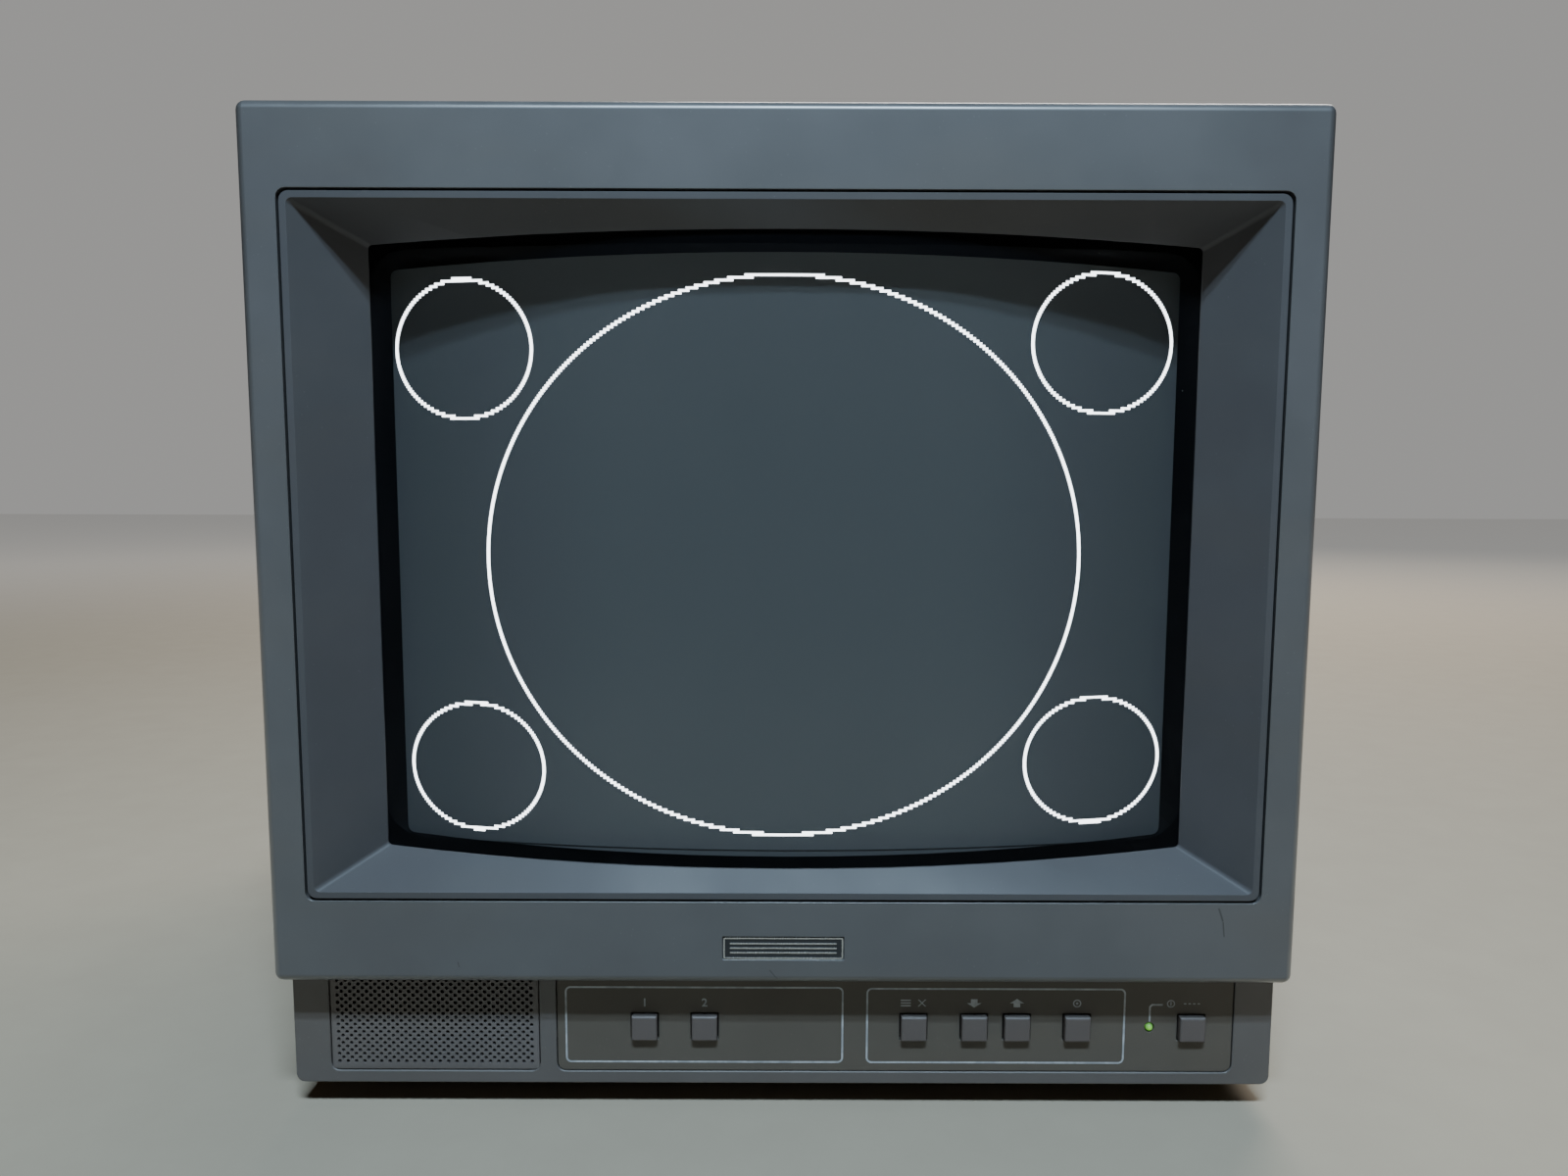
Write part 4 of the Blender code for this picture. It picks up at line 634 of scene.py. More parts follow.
def makeHead():
    sizes = {
        "rimReach": 3.6 * mm, "rimDepth": 3 * mm,  # how far in and back the front chamfer's edges lie
        "rimRounding": 1.15 * mm, "rounding": 0.85 * mm, "maskRounding": 0.55 * mm,
        "scuffs": (  # from, to and width
            ((0.1466, 0.0785), (0.1480, 0.0745), 0.45 * mm),
            ((0.1482, 0.0738), (0.1487, 0.0690), 0.35 * mm),
            ((-0.0045, 0.0565), (-0.0020, 0.0535), 0.30 * mm),
            ((-0.1100, 0.0590), (-0.1096, 0.0575), 0.30 * mm),
        ),
    }
    # painted shade: the mask's grey is the head's grey darkened by about a fifth, for the shade in the
    # screen's recess
    maskGrey = dict(colour=(0.072, 0.070, 0.075), roughness=0.56, grain=0.28, mottle=0.06, dust=0.06)
    finish = mouldedPlastic("headMoulding", scuffs=sizes["scuffs"], edges=True, **greyMoulding)
    head = place("front_bezel_look", mergedCopy("front_bezel"), finish)
    low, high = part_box("front_bezel")
    work = bmesh.new()
    work.from_mesh(head.data)

    def onRim(vertex):  # on the outer front chamfer
        out = max(abs(vertex.co.x) - high.x, vertex.co.z - high.z, low.z - vertex.co.z)
        return out > -sizes["rimReach"] and vertex.co.y < low.y + sizes["rimDepth"]

    flat, steep = math.radians(30), math.radians(60)
    rims = [edge for edge in work.edges if all(onRim(vertex) for vertex in edge.verts)
            and flat < edge.calc_face_angle(0) < steep]
    bmesh.ops.bevel(work, geom=rims, offset=sizes["rimRounding"], segments=4, profile=0.5,
                    affect="EDGES", clamp_overlap=True)
    work.to_mesh(head.data)
    work.free()
    soften(head, sizes["rounding"], 3)
    addPiece(head, "root", "head_moulding", "front_bezel")
    finish = mouldedPlastic("maskMoulding", **maskGrey)
    mask = renew("screen_mask", finish, "mask_moulding", bevel=sizes["maskRounding"], segments=3)
    print("head and mask made:", len(head.data.polygons), len(mask.data.polygons))


def makePlate():
    sizes = {
        "rim": 0.55 * mm, "sink": 0.22 * mm, "corner": 0.6 * mm, "innerCorner": 0.2 * mm,
        "rounding": 0.08 * mm, "bars": 3, "barHalf": 0.28 * mm, "barCorner": 0.27 * mm,
        "barEnd": 1.6 * mm, "barFront": 0.05 * mm, "barBack": 0.1 * mm,
    }
    low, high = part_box("name_plate")
    finish = bareMetal("plateSilver", (0.66, 0.67, 0.69), 0.24, brush=(30, 1, 1))
    field = mouldedPlastic("plateField", (0.020, 0.021, 0.024), 0.35, grain=0.3, dust=0.0)
    rim, half = sizes["rim"], sizes["barHalf"]
    work = bmesh.new()
    box = (low.x, high.x, low.z, high.z)
    outer = roundedRectangle(box, sizes["corner"], 4)
    inner = roundedRectangle(box, sizes["innerCorner"], 4, rim)
    ring(work, outer, inner, low.y, high.y)
    pitch = (high.z - low.z - 2 * rim) / (sizes["bars"] + 1)
    reach = (high.x - low.x) * 0.5 - rim - sizes["barEnd"]
    for i in range(sizes["bars"]):
        z = low.z + rim + pitch * (i + 1)
        bar = roundedRectangle((-reach, reach, z - half, z + half), sizes["barCorner"], 3)
        slab(work, bar, low.y + sizes["barFront"], high.y - sizes["barBack"])
    plate = built(work, "name_plate_look", finish)
    soften(plate, sizes["rounding"], 2)
    addPiece(plate, "root", "plate", "name_plate")
    work = bmesh.new()
    slab(work, inner, low.y + sizes["sink"], high.y)
    addPiece(built(work, "name_plate_field", field), "root", "black_plastic")
    print("plate made")


# Base strip


def makeBase():
    base = {"colour": (0.100, 0.088, 0.084), "rounding": 0.45 * mm, "panelRounding": 0.25 * mm}
    panelGrey = dict(colour=(0.102, 0.086, 0.070), roughness=0.52, grain=0.22, mottle=0.05, bits=0.3)
    finish = mouldedPlastic("baseMoulding", **{**greyMoulding, "colour": base["colour"]})
    renew("base_front", finish, "base_moulding", bevel=base["rounding"], segments=3)
    finish = mouldedPlastic("panelMoulding", **panelGrey)
    renew("control_panel", finish, "panel_moulding", bevel=base["panelRounding"])
    print("base and panel made")


def piercedTile(pitch, rowPitch, radius, sides, thick):
    # a plate with a hole in its middle, and points where the tiles of the next rows meet it
    x, z, quarter = pitch / 2, rowPitch / 2, sides // 4
    edges = (
        [(x, 0), (x, z), (0, z)], [(0, z), (-x, z), (-x, 0)],
        [(-x, 0), (-x, -z), (0, -z)], [(0, -z), (x, -z), (x, 0)],
    )
    hole = circle(radius, sides)
    work = bmesh.new()
    for depth in (0.0, thick):
        for turn, edge in enumerate(edges):
            arc = [hole[(turn * quarter + i) % sides] for i in range(quarter, -1, -1)]
            work.faces.new([work.verts.new((*point, depth)) for point in edge + arc])
    for first, second in zip(hole, hole[1:] + hole[:1]):
        wall = ((*first, 0), (*second, 0), (*second, thick), (*first, thick))
        work.faces.new([work.verts.new(point) for point in wall])
    bmesh.ops.remove_doubles(work, verts=work.verts, dist=1e-6)
    return built(work, "grilleTile")


def halfTile(pitch, rowPitch, thick):
    # the plain end of every other row
    x, z = pitch / 4, rowPitch / 2
    outline = [(x, -z), (x, 0), (x, z), (-x, z), (-x, 0), (-x, -z)]
    work = bmesh.new()
    for depth in (0.0, thick):
        work.faces.new([work.verts.new((*point, depth)) for point in outline])
    return built(work, "grilleHalfTile")


def makeGrille():
    sizes = {
        "pitch": 2.95 * mm, "rowPitch": 1.35 * mm, "hole": 0.64 * mm, "sheet": 1.3 * mm, "sides": 12,
        "plainEnds": 2.0 * mm, "plainRows": 2.8 * mm, "plainTop": 1.0 * mm,  # the sheet outside the holes
        "edge": 0.45 * mm, "corner": 1.2 * mm, "topCorner": 0.4 * mm, "sunk": 0.02 * mm, "backGap": 0.15 * mm,
        "scrimGap": 1.0 * mm, "scrimTop": 0.6 * mm, "scrimFront": 0.70 * mm, "scrimBack": 0.25 * mm,
    }
    low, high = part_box("speaker_grille")
    pitch, rowPitch, thick = sizes["pitch"], sizes["rowPitch"], sizes["sheet"]
    columns = int((high.x - low.x - sizes["plainEnds"]) / pitch)
    rows = int((high.z - low.z - sizes["plainRows"]) / rowPitch)
    columnsWide, rowsTall = columns * pitch, rows * rowPitch
    tile = piercedTile(pitch, rowPitch, sizes["hole"], sizes["sides"], thick)
    half = halfTile(pitch, rowPitch, thick)
    centre = Vector(((low.x + high.x) / 2, 0, high.z - sizes["plainTop"] - rowsTall / 2))
    x0, x1 = -columnsWide / 2, columnsWide / 2
    z0, z1 = -rowsTall / 2, rowsTall / 2
    across = [x0 + pitch / 2 * i for i in range(2 * columns + 1)]
    upward = [z0 + rowPitch / 2 * i for i in range(2 * rows + 1)]
    outside = (low.x - centre.x, high.x - centre.x, low.z - centre.z, high.z - centre.z)
    edge = sizes["edge"]

    def corners(inset):
        low, top = sizes["corner"] - inset * 0.5, sizes["topCorner"]
        return roundedRectangle(outside, (low, top, top, low), inset=inset)

    margin = bmesh.new()  # the plain sheet round the tiles, rolled back at its edge
    face = corners(edge)
    count = len(face) // 4
    sides = (
        [(x, z0) for x in across], [(x1, z) for z in upward],
        [(x, z1) for x in reversed(across)], [(x0, z) for z in reversed(upward)],
    )
    for y in (0.0, thick):
        for k, inner in enumerate(sides):  # each side runs between two rounded corners
            start = k * count - count // 2 - 1
            outer = [face[(start + i) % len(face)] for i in range(count + 1)]
            margin.faces.new([margin.verts.new((x, z, y)) for x, z in outer + inner[::-1]])
    depth = high.y - low.y - sizes["backGap"]
    profile = [(edge, 0.0), (edge * 0.35, edge * 0.15), (edge * 0.05, edge * 0.55), (0.0, edge * 1.2)]
    profile += [(0.0, depth), (edge, depth), (edge, thick)]
    bridge(margin, [[margin.verts.new((x, z, y)) for x, z in corners(inset)] for inset, y in profile])
    bmesh.ops.remove_doubles(margin, verts=margin.verts, dist=1e-6)
    margin = built(margin, "grilleMargin")
    finish = mouldedPlastic("grilleSheet", (0.134, 0.117, 0.113), 0.40, grain=0.5, mottle=0.06, dust=0.1)
    grille = brickTree().grow("speaker_grille_look", {
        "Tile": tile, "Half Tile": half, "Margin": margin, "Pitch": pitch, "Row Pitch": rowPitch,
        "Columns": columns, "Rows": rows, "Finish": finish,
    })
    front = low.y + sizes["sunk"]
    upright = Matrix(((1, 0, 0, centre.x), (0, 0, 1, front), (0, 1, 0, centre.z), (0, 0, 0, 1)))
    grille.data.transform(upright)
    work = bmesh.new()
    work.from_mesh(grille.data)
    bmesh.ops.recalc_face_normals(work, faces=work.faces)
    work.to_mesh(grille.data)
    work.free()
    grille.data.set_sharp_from_angle(angle=math.radians(40))
    for part in (tile, half, margin):
        bpy.data.objects.remove(part, do_unlink=True)
    addPiece(grille, "root", "grille", "speaker_grille")

    work = bmesh.new()  # black scrim behind the holes
    gap = sizes["scrimGap"]
    outline = (low.x + gap, high.x - gap, low.z + gap, high.z - sizes["scrimTop"])
    slab(work, roundedRectangle(outline, 0), high.y - sizes["scrimFront"], high.y - sizes["scrimBack"])
    scrim = softRubber("grilleScrim", (0.006, 0.006, 0.007), 0.95)
    addPiece(built(work, "grille_scrim", scrim), "root", "black_plastic")
    print("grille made:", columns, "x", rows, "holes,", len(grille.data.polygons), "faces")


# Printed marks


def makeMarks():
    sizes = {
        "boxes": ((-76.4, 21.2, 17.0, 45.0), (29.2, 120.1, 17.0, 44.7)),  # left, right, bottom, top in mm
        "line": 0.62 * mm, "corner": 2.0 * mm, "front": 0.05 * mm, "back": 0.01 * mm,
        "label": 39.2 * mm,  # height of the signs' middles
        "tall": 2.9 * mm, "figure": 4.1 * mm, "bolder": 0.07 * mm, "bar": 0.22 * mm, "barCorner": 0.2 * mm,
        "circleHole": 1.05 * mm, "dot": 0.42 * mm, "powerSign": -7.3 * mm,
        "menuBars": (-4.6, -1.0), "cross": 2.9 * mm, "crossReach": 1.25 * mm, "crossThin": 0.24 * mm,
        "enterRing": 1.45 * mm, "powerRing": 1.40 * mm,
        "dashes": ((-2.8, -1.9), (-1.2, -0.3), (0.4, 1.3), (2.0, 2.9)),  # in mm from the power key's middle
        "leader": (  # the line from the power light to its sign, in mm from the light and from the floor
            (-0.30, 32.6), (0.30, 32.6), (0.30, 37.9), (0.9, 38.5),
            (4.4, 38.5), (4.4, 39.1), (0.6, 39.1), (-0.30, 38.2),
        ),
    }
    low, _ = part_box("control_panel")
    front, back = low.y - sizes["front"], low.y - sizes["back"]
    label, tall, line, corner = sizes["label"], sizes["tall"], sizes["line"], sizes["corner"]
    places = {key: middleOf("button_" + key).x for key in keys}
    work = bmesh.new()

    def stroke(x0, x1, z, half=sizes["bar"], corner=sizes["barCorner"]):
        slab(work, roundedRectangle((x0, x1, z - half, z + half), corner, 3), front, back)

    def roundSign(x, radius):
        inner = arcPoints((x, label), sizes["circleHole"], 0, 345, 23)
        ring(work, arcPoints((x, label), radius, 0, 345, 23), inner, front, back)

    for box in sizes["boxes"]:
        box = [side * mm for side in box]
        inner = roundedRectangle(box, corner - line, 8, line)
        ring(work, roundedRectangle(box, corner, 8), inner, front, back)
    for key, way in (("down", -1), ("up", 1)):  # arrows
        x = places[key]
        half, stem = 2.5 * mm, 1.15 * mm
        tip, tail = label + way * 0.56 * tall, label - way * 0.5 * tall
        points = [(x, tip), (x - half, label), (x - stem, label), (x - stem, tail)]
        points += [(x + stem, tail), (x + stem, label), (x + half, label)]
        slab(work, points, front, back)
    x = places["menu"]  # three bars and a cross: list, leave
    left, right = sizes["menuBars"]
    for i in (-1, 0, 1):
        stroke(x + left * mm, x + right * mm, label + i * mm)
    centre, reach, thin = x + sizes["cross"], sizes["crossReach"], sizes["crossThin"]
    for way in (-1, 1):
        points = [(-reach - thin, -reach * way), (-reach + thin, -reach * way)]
        points += [(reach + thin, reach * way), (reach - thin, reach * way)]
        slab(work, [(centre + a, label + b) for a, b in points], front, back)
    roundSign(places["enter"], sizes["enterRing"])  # a ring with a dot
    slab(work, arcPoints((places["enter"], label), sizes["dot"], 0, 330, 11), front, back)
    x = places["power"] + sizes["powerSign"]  # a ring with a stroke: power
    roundSign(x, sizes["powerRing"])
    stroke(x - 0.2 * mm, x + 0.2 * mm, label, 0.75 * mm, 0.18 * mm)
    x = places["power"]
    for start, end in sizes["dashes"]:  # plain dashes over the power key
        stroke(x + start * mm, x + end * mm, label)
    light = middleOf("power_light").x
    slab(work, [(light + a * mm, z * mm) for a, z in sizes["leader"]], front, back)
    marks = built(work, "panel_marks")
    for key, figure in (("input_a", "1"), ("input_b", "2")):
        text = bpy.data.curves.new("figure", "FONT")
        text.body, text.size, text.align_x = figure, sizes["figure"], "CENTER"
        text.extrude, text.offset = (back - front) / 2, sizes["bolder"]
        holder = place("figure", text)
        settled = bpy.data.meshes.new_from_object(holder)
        spot = Matrix.Translation((places[key], (front + back) / 2, label - tall / 2))
        settled.transform(spot @ Matrix.Rotation(math.pi / 2, 4, "X"))
        both = bmesh.new()
        both.from_mesh(marks.data)
        both.from_mesh(settled)
        both.to_mesh(marks.data)
        both.free()
        bpy.data.objects.remove(holder, do_unlink=True)
    ink = Finish("panelInk", (0.44, 0.45, 0.47), 0.5)
    worn = ink.ease(ink.noise(260, 3, 0.6), 0.35, 0.65)
    ink.drive("Base Color", ink.between(worn, (0.34, 0.35, 0.37, 1), (0.50, 0.51, 0.53, 1)))
    ink.drive("Roughness", 0.45 + worn * 0.15)
    marks.data.materials.clear()
    marks.data.materials.append(ink.material)
    for face in marks.data.polygons:
        face.material_index = 0
    addPiece(marks, "root", "white_plastic")
    print("marks made")


# Keys and the power light


def makeKeys():
    looks = {
        "key": dict(colour=(0.112, 0.092, 0.086), roughness=0.42, grain=0.25, mottle=0.05, bits=0.2),
        "rounding": 0.30 * mm, "lens": (0.13, 0.34, 0.05), "glow": 0.85,
        "lit": (0.20, 0.62, 0.02, 1), "rim": (0.06, 0.20, 0.015, 1),
    }
    finish = mouldedPlastic("keyPlastic", **looks["key"])
    for key in keys:
        renew("button_" + key, finish, "button_plastic", bevel=looks["rounding"])
    glow = Finish("greenLens", looks["lens"], 0.22, Emission_Strength=looks["glow"])
    low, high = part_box("power_light")
    centre = middleOf("power_light")
    x, _, z = glow.axes()
    gapX, gapZ = x - centre.x, z - centre.z
    away = (gapX * gapX + gapZ * gapZ).root() / ((high.x - low.x) / 2)
    glow.drive("Emission Color", glow.between(glow.ease(away, 0.1, 1.0), looks["lit"], looks["rim"]))
    glow.drive("Base Color", glow.between(glow.noise(700, 2), (0.14, 0.33, 0.09, 1), (0.2, 0.42, 0.13, 1)))
    renew("power_light", glow.material, "green_lens", angle=50)
    print("keys made")


# Screen


def makeGlass():
    skirt = 25 * mm  # the outer face lies this near the front, the inner face this far ahead of the back
    obj = place("tube_panel_look", mergedCopy("tube_panel", 0.1))
    # the glass's second colour is its body, and its lit share is a painted reflection of the dim room
    obj.data.materials.append(seeThroughGlass("screenGlass", (0.80, 0.82, 0.83), (0.050, 0.052, 0.062)))
    obj.data.materials.append(openGlass("innerGlass"))
    obj.data.materials.append(sootCoat("blackCoat", (0.008, 0.008, 0.009), 0.85))
    low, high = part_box("tube_panel")
    for polygon in obj.data.polygons:
        middle, normal = polygon.center, polygon.normal
        if normal.y < -0.8 and middle.y < low.y + skirt:
            polygon.material_index = 0
        elif normal.y > 0.8 and middle.y < high.y - skirt:
            polygon.material_index = 1
        else:
            polygon.material_index = 2
    shadeSmooth(obj.data, 25)
    addPiece(obj, "root", "screen_glass", "tube_panel")


def makePhosphor():
    picture = {
        "rings": (  # middle across and up, half width and half height, in mm
            (-0.3, 193.8, 102.6, 95.65), (-110.2, 265.5, 24.2, 23.4), (108.7, 268.2, 24.9, 23.5),
            (-108.7, 119.7, 24.3, 22.8), (109.5, 122.6, 24.8, 22.55),
        ),
        "row": 0.842 * mm, "line": 0.58 * mm, "stripe": 0.25 * mm, "glow": 7.0, "lit": (0.93, 0.96, 1.0, 1),
        "reach": 126 * mm, "top": 2.0 * mm, "topBow": 3.5 * mm, "lowBow": 3.1 * mm,  # the layer's edges
    }
    glow = Finish("phosphorLayer", (0.16, 0.20, 0.22), 0.9, Specular_IOR_Level=0.2,
                  Emission_Strength=picture["glow"])
    x, _, z = glow.axes()
    row = picture["row"]
    snapZ = ((z / row).floor() + 0.5) * row  # each scanned row is one straight stroke
    lit = 0
    for cx, cz, across, tall in picture["rings"]:
        acrossX = (x - cx * mm) / (across * mm)
        upZ = (snapZ - cz * mm) / (tall * mm)
        inward = (acrossX * acrossX + upZ * upZ).root()
        spread = ((acrossX / across) ** 2 + (upZ / tall) ** 2).root() / inward.most(0.001)
        gap = abs(inward - 1) * mm / spread.most(0.001)
        lit = (gap < picture["line"]) + lit
    glow.drive("Emission Color", glow.between(lit.least(1), (0, 0, 0, 1), picture["lit"]))
    stripe = (x * (math.tau / picture["stripe"])).sine() * 0.5 + 0.5
    # painted reflection: the phosphor is lighter towards the bottom, for the floor's reflection in the glass.
    # Towards the sides it is darker, partly for the thicker tinted glass there and partly as a painted
    # reflection of the dark room.
    shade = glow.between(glow.ease(z, 0.09, 0.20), (0.352, 0.350, 0.350, 1), (0.280, 0.292, 0.302, 1))
    shade = glow.between(glow.ease(abs(x), 0.05, 0.135) * 0.7, shade, (0.160, 0.168, 0.178, 1))
    shade = glow.between(stripe * 0.25 + glow.noise(30, 2) * 0.1, shade, (0.20, 0.215, 0.22, 1))
    glow.drive("Base Color", shade)
    glow.drive("Roughness", 0.82 + glow.noise(500, 2) * 0.15)
    layer = place("phosphor_screen_look", mergedCopy("phosphor_screen", 0.1), glow.material)
    low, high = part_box("phosphor_screen")
    middle, half = (low.z + high.z) / 2, (high.z - low.z) / 2
    for vertex in layer.data.vertices:  # its upper and lower edges bow as the window does
        up, out = (vertex.co.z - middle) / half, (vertex.co.x / picture["reach"]) ** 2
        drop = picture["top"] + picture["topBow"] * out if up > 0 else picture["lowBow"] * (1 - out)
        vertex.co.z -= abs(up) * drop
    shadeSmooth(layer.data, 25)
    addPiece(layer, "root", "phosphor", "phosphor_screen")
    print("screen made")


# Cabinet


def screwHead(radius, height):
    # a pan head with a cross recess, on the XY plane, facing +Z
    steps = 16
    dome = [(1.0, 0.0), (1.0, 0.35), (0.9, 0.7), (0.68, 0.93), (0.5, 1.0)]
    arm, thin, taper, floor = radius * 0.5, radius * 0.13, 0.8, height * 0.25
    work = bmesh.new()
    rows = [[work.verts.new((x, y, height * h)) for x, y in circle(radius * r, steps)] for r, h in dome]
    bridge(work, rows)
    cross = []
    for turn in range(4):
        cosine, sine = math.cos(math.tau * turn / 4), math.sin(math.tau * turn / 4)
        for a, b in ((arm, -thin), (arm, thin), (thin, thin)):
            cross.append((a * cosine - b * sine, a * sine + b * cosine))
    top = [work.verts.new((x, y, height)) for x, y in cross]
    under = [work.verts.new((x * taper, y * taper, floor)) for x, y in cross]
    bridge(work, [top, under])
    work.faces.new(under)
    rim = rows[-1]
    for turn in range(4):  # the flat between two arms of the cross, out to the crown
        outside = [rim[(turn * 4 + i) % steps] for i in range(5)]
        work.faces.new(outside + [top[(turn * 3 + i) % 12] for i in (3, 2, 1)])
    for turn in range(4):  # and the sliver beyond each arm's end
        work.faces.new((rim[turn * 4], top[(turn * 3 + 1) % 12], top[(turn * 3) % 12]))
    work.faces.new(rows[0][::-1])
    bmesh.ops.remove_doubles(work, verts=work.verts, dist=1e-7)
    return built(work, "screwHead")


def makeCabinet():
    cabinetGrey = dict(colour=(0.084, 0.085, 0.090), roughness=0.50, dust=0.22)
    finish = paintedSteel("cabinetPaint", **cabinetGrey)
    tail = mouldedPlastic("neckCoverPlastic", (0.020, 0.021, 0.023), 0.48, grain=0.35, dust=0.35)
    shells = (
        ("cabinet_cover", finish, "painted_steel"), ("rear_panel", finish, "painted_steel"),
        ("neck_cover", tail, "black_plastic"), ("chassis_tray", zinc, "zinc_steel"),
    )
    for node, material, slot in shells:
        renew(node, material, slot, angle=30, flat=0)
    for corner in ("front_left", "front_right", "rear_left", "rear_right"):
        renew("foot_" + corner, rubber, "rubber", bevel=0.35 * mm, angle=35)
    print("cabinet made")


def makeScrews():
    sizes = {
        "radius": 3.0 * mm, "height": 1.3 * mm, "sunk": 0.05 * mm,
        "tailFlange": 2.5 * mm,  # the thickness of the neck cover's flange
        "corners": (0.312, 0.290), "low": 0.104, "tail": (0.160, 0.153), "side": 0.265,
        "cornerZ": 0.172, "lowZ": 0.027, "sideY": 0.009, "sideZ": 0.026,
    }
    toBack = Matrix(((-1, 0, 0, 0), (0, 0, 1, 0), (0, 1, 0, 0), (0, 0, 0, 1)))
    toLeft = Matrix(((0, 0, -1, 0), (-1, 0, 0, 0), (0, 1, 0, 0), (0, 0, 0, 1)))
    toRight = Matrix(((0, 0, 1, 0), (1, 0, 0, 0), (0, 1, 0, 0), (0, 0, 0, 1)))
    coverLow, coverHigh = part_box("cabinet_cover")
    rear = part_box("rear_panel")[1].y - sizes["sunk"]
    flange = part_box("neck_cover")[0].y + sizes["tailFlange"] - sizes["sunk"]
    leftX, rightX = coverLow.x + sizes["sunk"], coverHigh.x - sizes["sunk"]
    side = (2, 1, sizes["side"], 0.0)
    sets = (
        ("rear_corner_screws", (2, 2, *sizes["corners"]), toBack, (0, rear, sizes["cornerZ"])),
        ("rear_low_screws", (2, 1, sizes["low"], 0.0), toBack, (0, rear, sizes["lowZ"])),
        ("tail_screws", (2, 2, *sizes["tail"]), toBack, (0, flange, axisZ)),
        ("left_screws", side, toLeft, (leftX, sizes["sideY"], sizes["sideZ"])),
        ("right_screws", side, toRight, (rightX, sizes["sideY"], sizes["sideZ"])),
    )
    screw = screwHead(sizes["radius"], sizes["height"])
    tree = gridTree()
    for name, (columns, rows, width, height), turn, centre in sets:
        made = tree.grow(name, {
            "Piece": screw, "Columns": columns, "Rows": rows, "Width": width, "Height": height,
            "Finish": screwBlack,
        })
        made.data.transform(Matrix.Translation(centre) @ turn)
        shadeSmooth(made.data, 35)
        addPiece(made, "root", "zinc_steel")
    bpy.data.objects.remove(screw, do_unlink=True)
    print("screws made")


def makeSockets():
    for socket in ("in_a", "out_a", "in_b", "out_b"):
        renew("video_" + socket, nickel, "nickel", angle=35)
    for node, rounding in (("audio_jacks", 0.15 * mm), ("mains_inlet", 0.3 * mm)):
        renew(node, blackPlastic, "black_plastic", bevel=rounding, angle=35)
    print("sockets made")


# Inside


def neckGlass():
    made = Finish("neckGlass", (0.42, 0.46, 0.45), 0.08, Coat_Weight=0.4)
    cloud = made.noise(50, 3)
    made.drive("Base Color", made.between(cloud, (0.30, 0.34, 0.33, 1), (0.50, 0.54, 0.52, 1)))
    made.drive("Roughness", 0.06 + cloud * 0.08)
    return made.material


def makeInside():
    graphite = sootCoat("funnelGraphite", (0.018, 0.018, 0.020))
    copper = woundCopper("yokeWinding", (0.62, 0.22, 0.08), axisZ)
    ferrite = sootCoat("ferriteCore", (0.045, 0.043, 0.045), 0.6)
    tape = tapeWrap("coilTape", (0.022, 0.022, 0.024), axisZ)
    redRubber = softRubber("anodeRubber", (0.33, 0.045, 0.03), 0.55)
    aluminium = bareMetal("finAluminium", (0.66, 0.66, 0.67), 0.32, brush=(1, 1, 20))
    board = boardLaminate("boardGreen", (0.035, 0.105, 0.045))
    brown = boardLaminate("boardBrown", (0.20, 0.115, 0.045))
    white = mouldedPlastic("whitePlastic", (0.62, 0.61, 0.56), 0.45, grain=0.4, dust=0.1)
    oxide = bareMetal("blackenedSteel", (0.035, 0.036, 0.040), 0.55)
    sleeve = mouldedPlastic("capacitorSleeve", (0.02, 0.035, 0.09), 0.3, grain=0.6, dust=0.1)
    pieces = [  # node, finish, slot, rounding in mm, angle of the edges that stay sharp
        ("tube_funnel", graphite, "graphite", 0, 30),
        ("tube_neck", neckGlass(), "clear_glass", 0, 30),
        ("electron_gun", nickel, "nickel", 0, 30),
        ("tension_band", zinc, "zinc_steel", 0, 30),
        ("degauss_coil", tape, "black_plastic", 0, 60),
        ("anode_cap", redRubber, "red_rubber", 0, 40),
        ("anode_lead", redRubber, "red_rubber", 0, 60),
        ("deflection_yoke", copper, "copper", 0, 35),
        ("yoke_core", ferrite, "ferrite", 0.5, 35),
        ("purity_ring", white, "white_plastic", 0.15, 35),
        ("convergence_ring_front", white, "white_plastic", 0.15, 35),
        ("convergence_ring_rear", white, "white_plastic", 0.15, 35),
        ("tube_socket", blackPlastic, "black_plastic", 0.3, 35),
        ("neck_board", board, "circuit_board", 0, 30),
        ("flyback_transformer", blackPlastic, "black_plastic", 0.8, 35),
        ("focus_knob", white, "white_plastic", 0.2, 35),
        ("screen_knob", white, "white_plastic", 0.2, 35),
        ("main_board", brown, "circuit_board", 0, 30),
        ("power_board", brown, "circuit_board", 0, 30),
        ("main_capacitor", sleeve, "black_plastic", 0.5, 35),
        ("heat_sink", aluminium, "aluminium", 0.15, 35),
        ("control_board", board, "circuit_board", 0, 30),
        ("power_switch", blackPlastic, "black_plastic", 0.4, 35),
        ("loudspeaker", blackPlastic, "black_plastic", 0.3, 30),
        ("aperture_grille", oxide, "zinc_steel", 0, 30),
    ]
    for corner in ("left_low", "left_high", "right_low", "right_high"):
        pieces.append(("tube_screw_" + corner, screwZinc, "zinc_steel", 0.2, 35))
    for node, material, slot, rounding, angle in pieces:
        renew(node, material, slot, bevel=rounding * mm, angle=angle, flat=0.2)
    print("inside made")


def lathe(work, profile, sides, along="Z", lift=0.0):
    # a closed turned shape from (radius, distance) pairs in mm, along Z or lying along X
    rows = []
    for radius, distance in profile:
        far = distance * mm
        rows.append([work.verts.new((a, b, far + lift) if along == "Z" else (far, a, b + lift))
                     for a, b in circle(radius * mm, sides)])
    bridge(work, rows)
    work.faces.new(rows[0])
    work.faces.new(rows[-1])


def leg(work, x, y, height):
    # a wire standing on the board
    made = bmesh.ops.create_cone(work, cap_ends=True, segments=5, radius1=0.3 * mm, radius2=0.3 * mm,
                                 depth=height)
    bmesh.ops.translate(work, verts=made["verts"], vec=(x, y, height / 2))


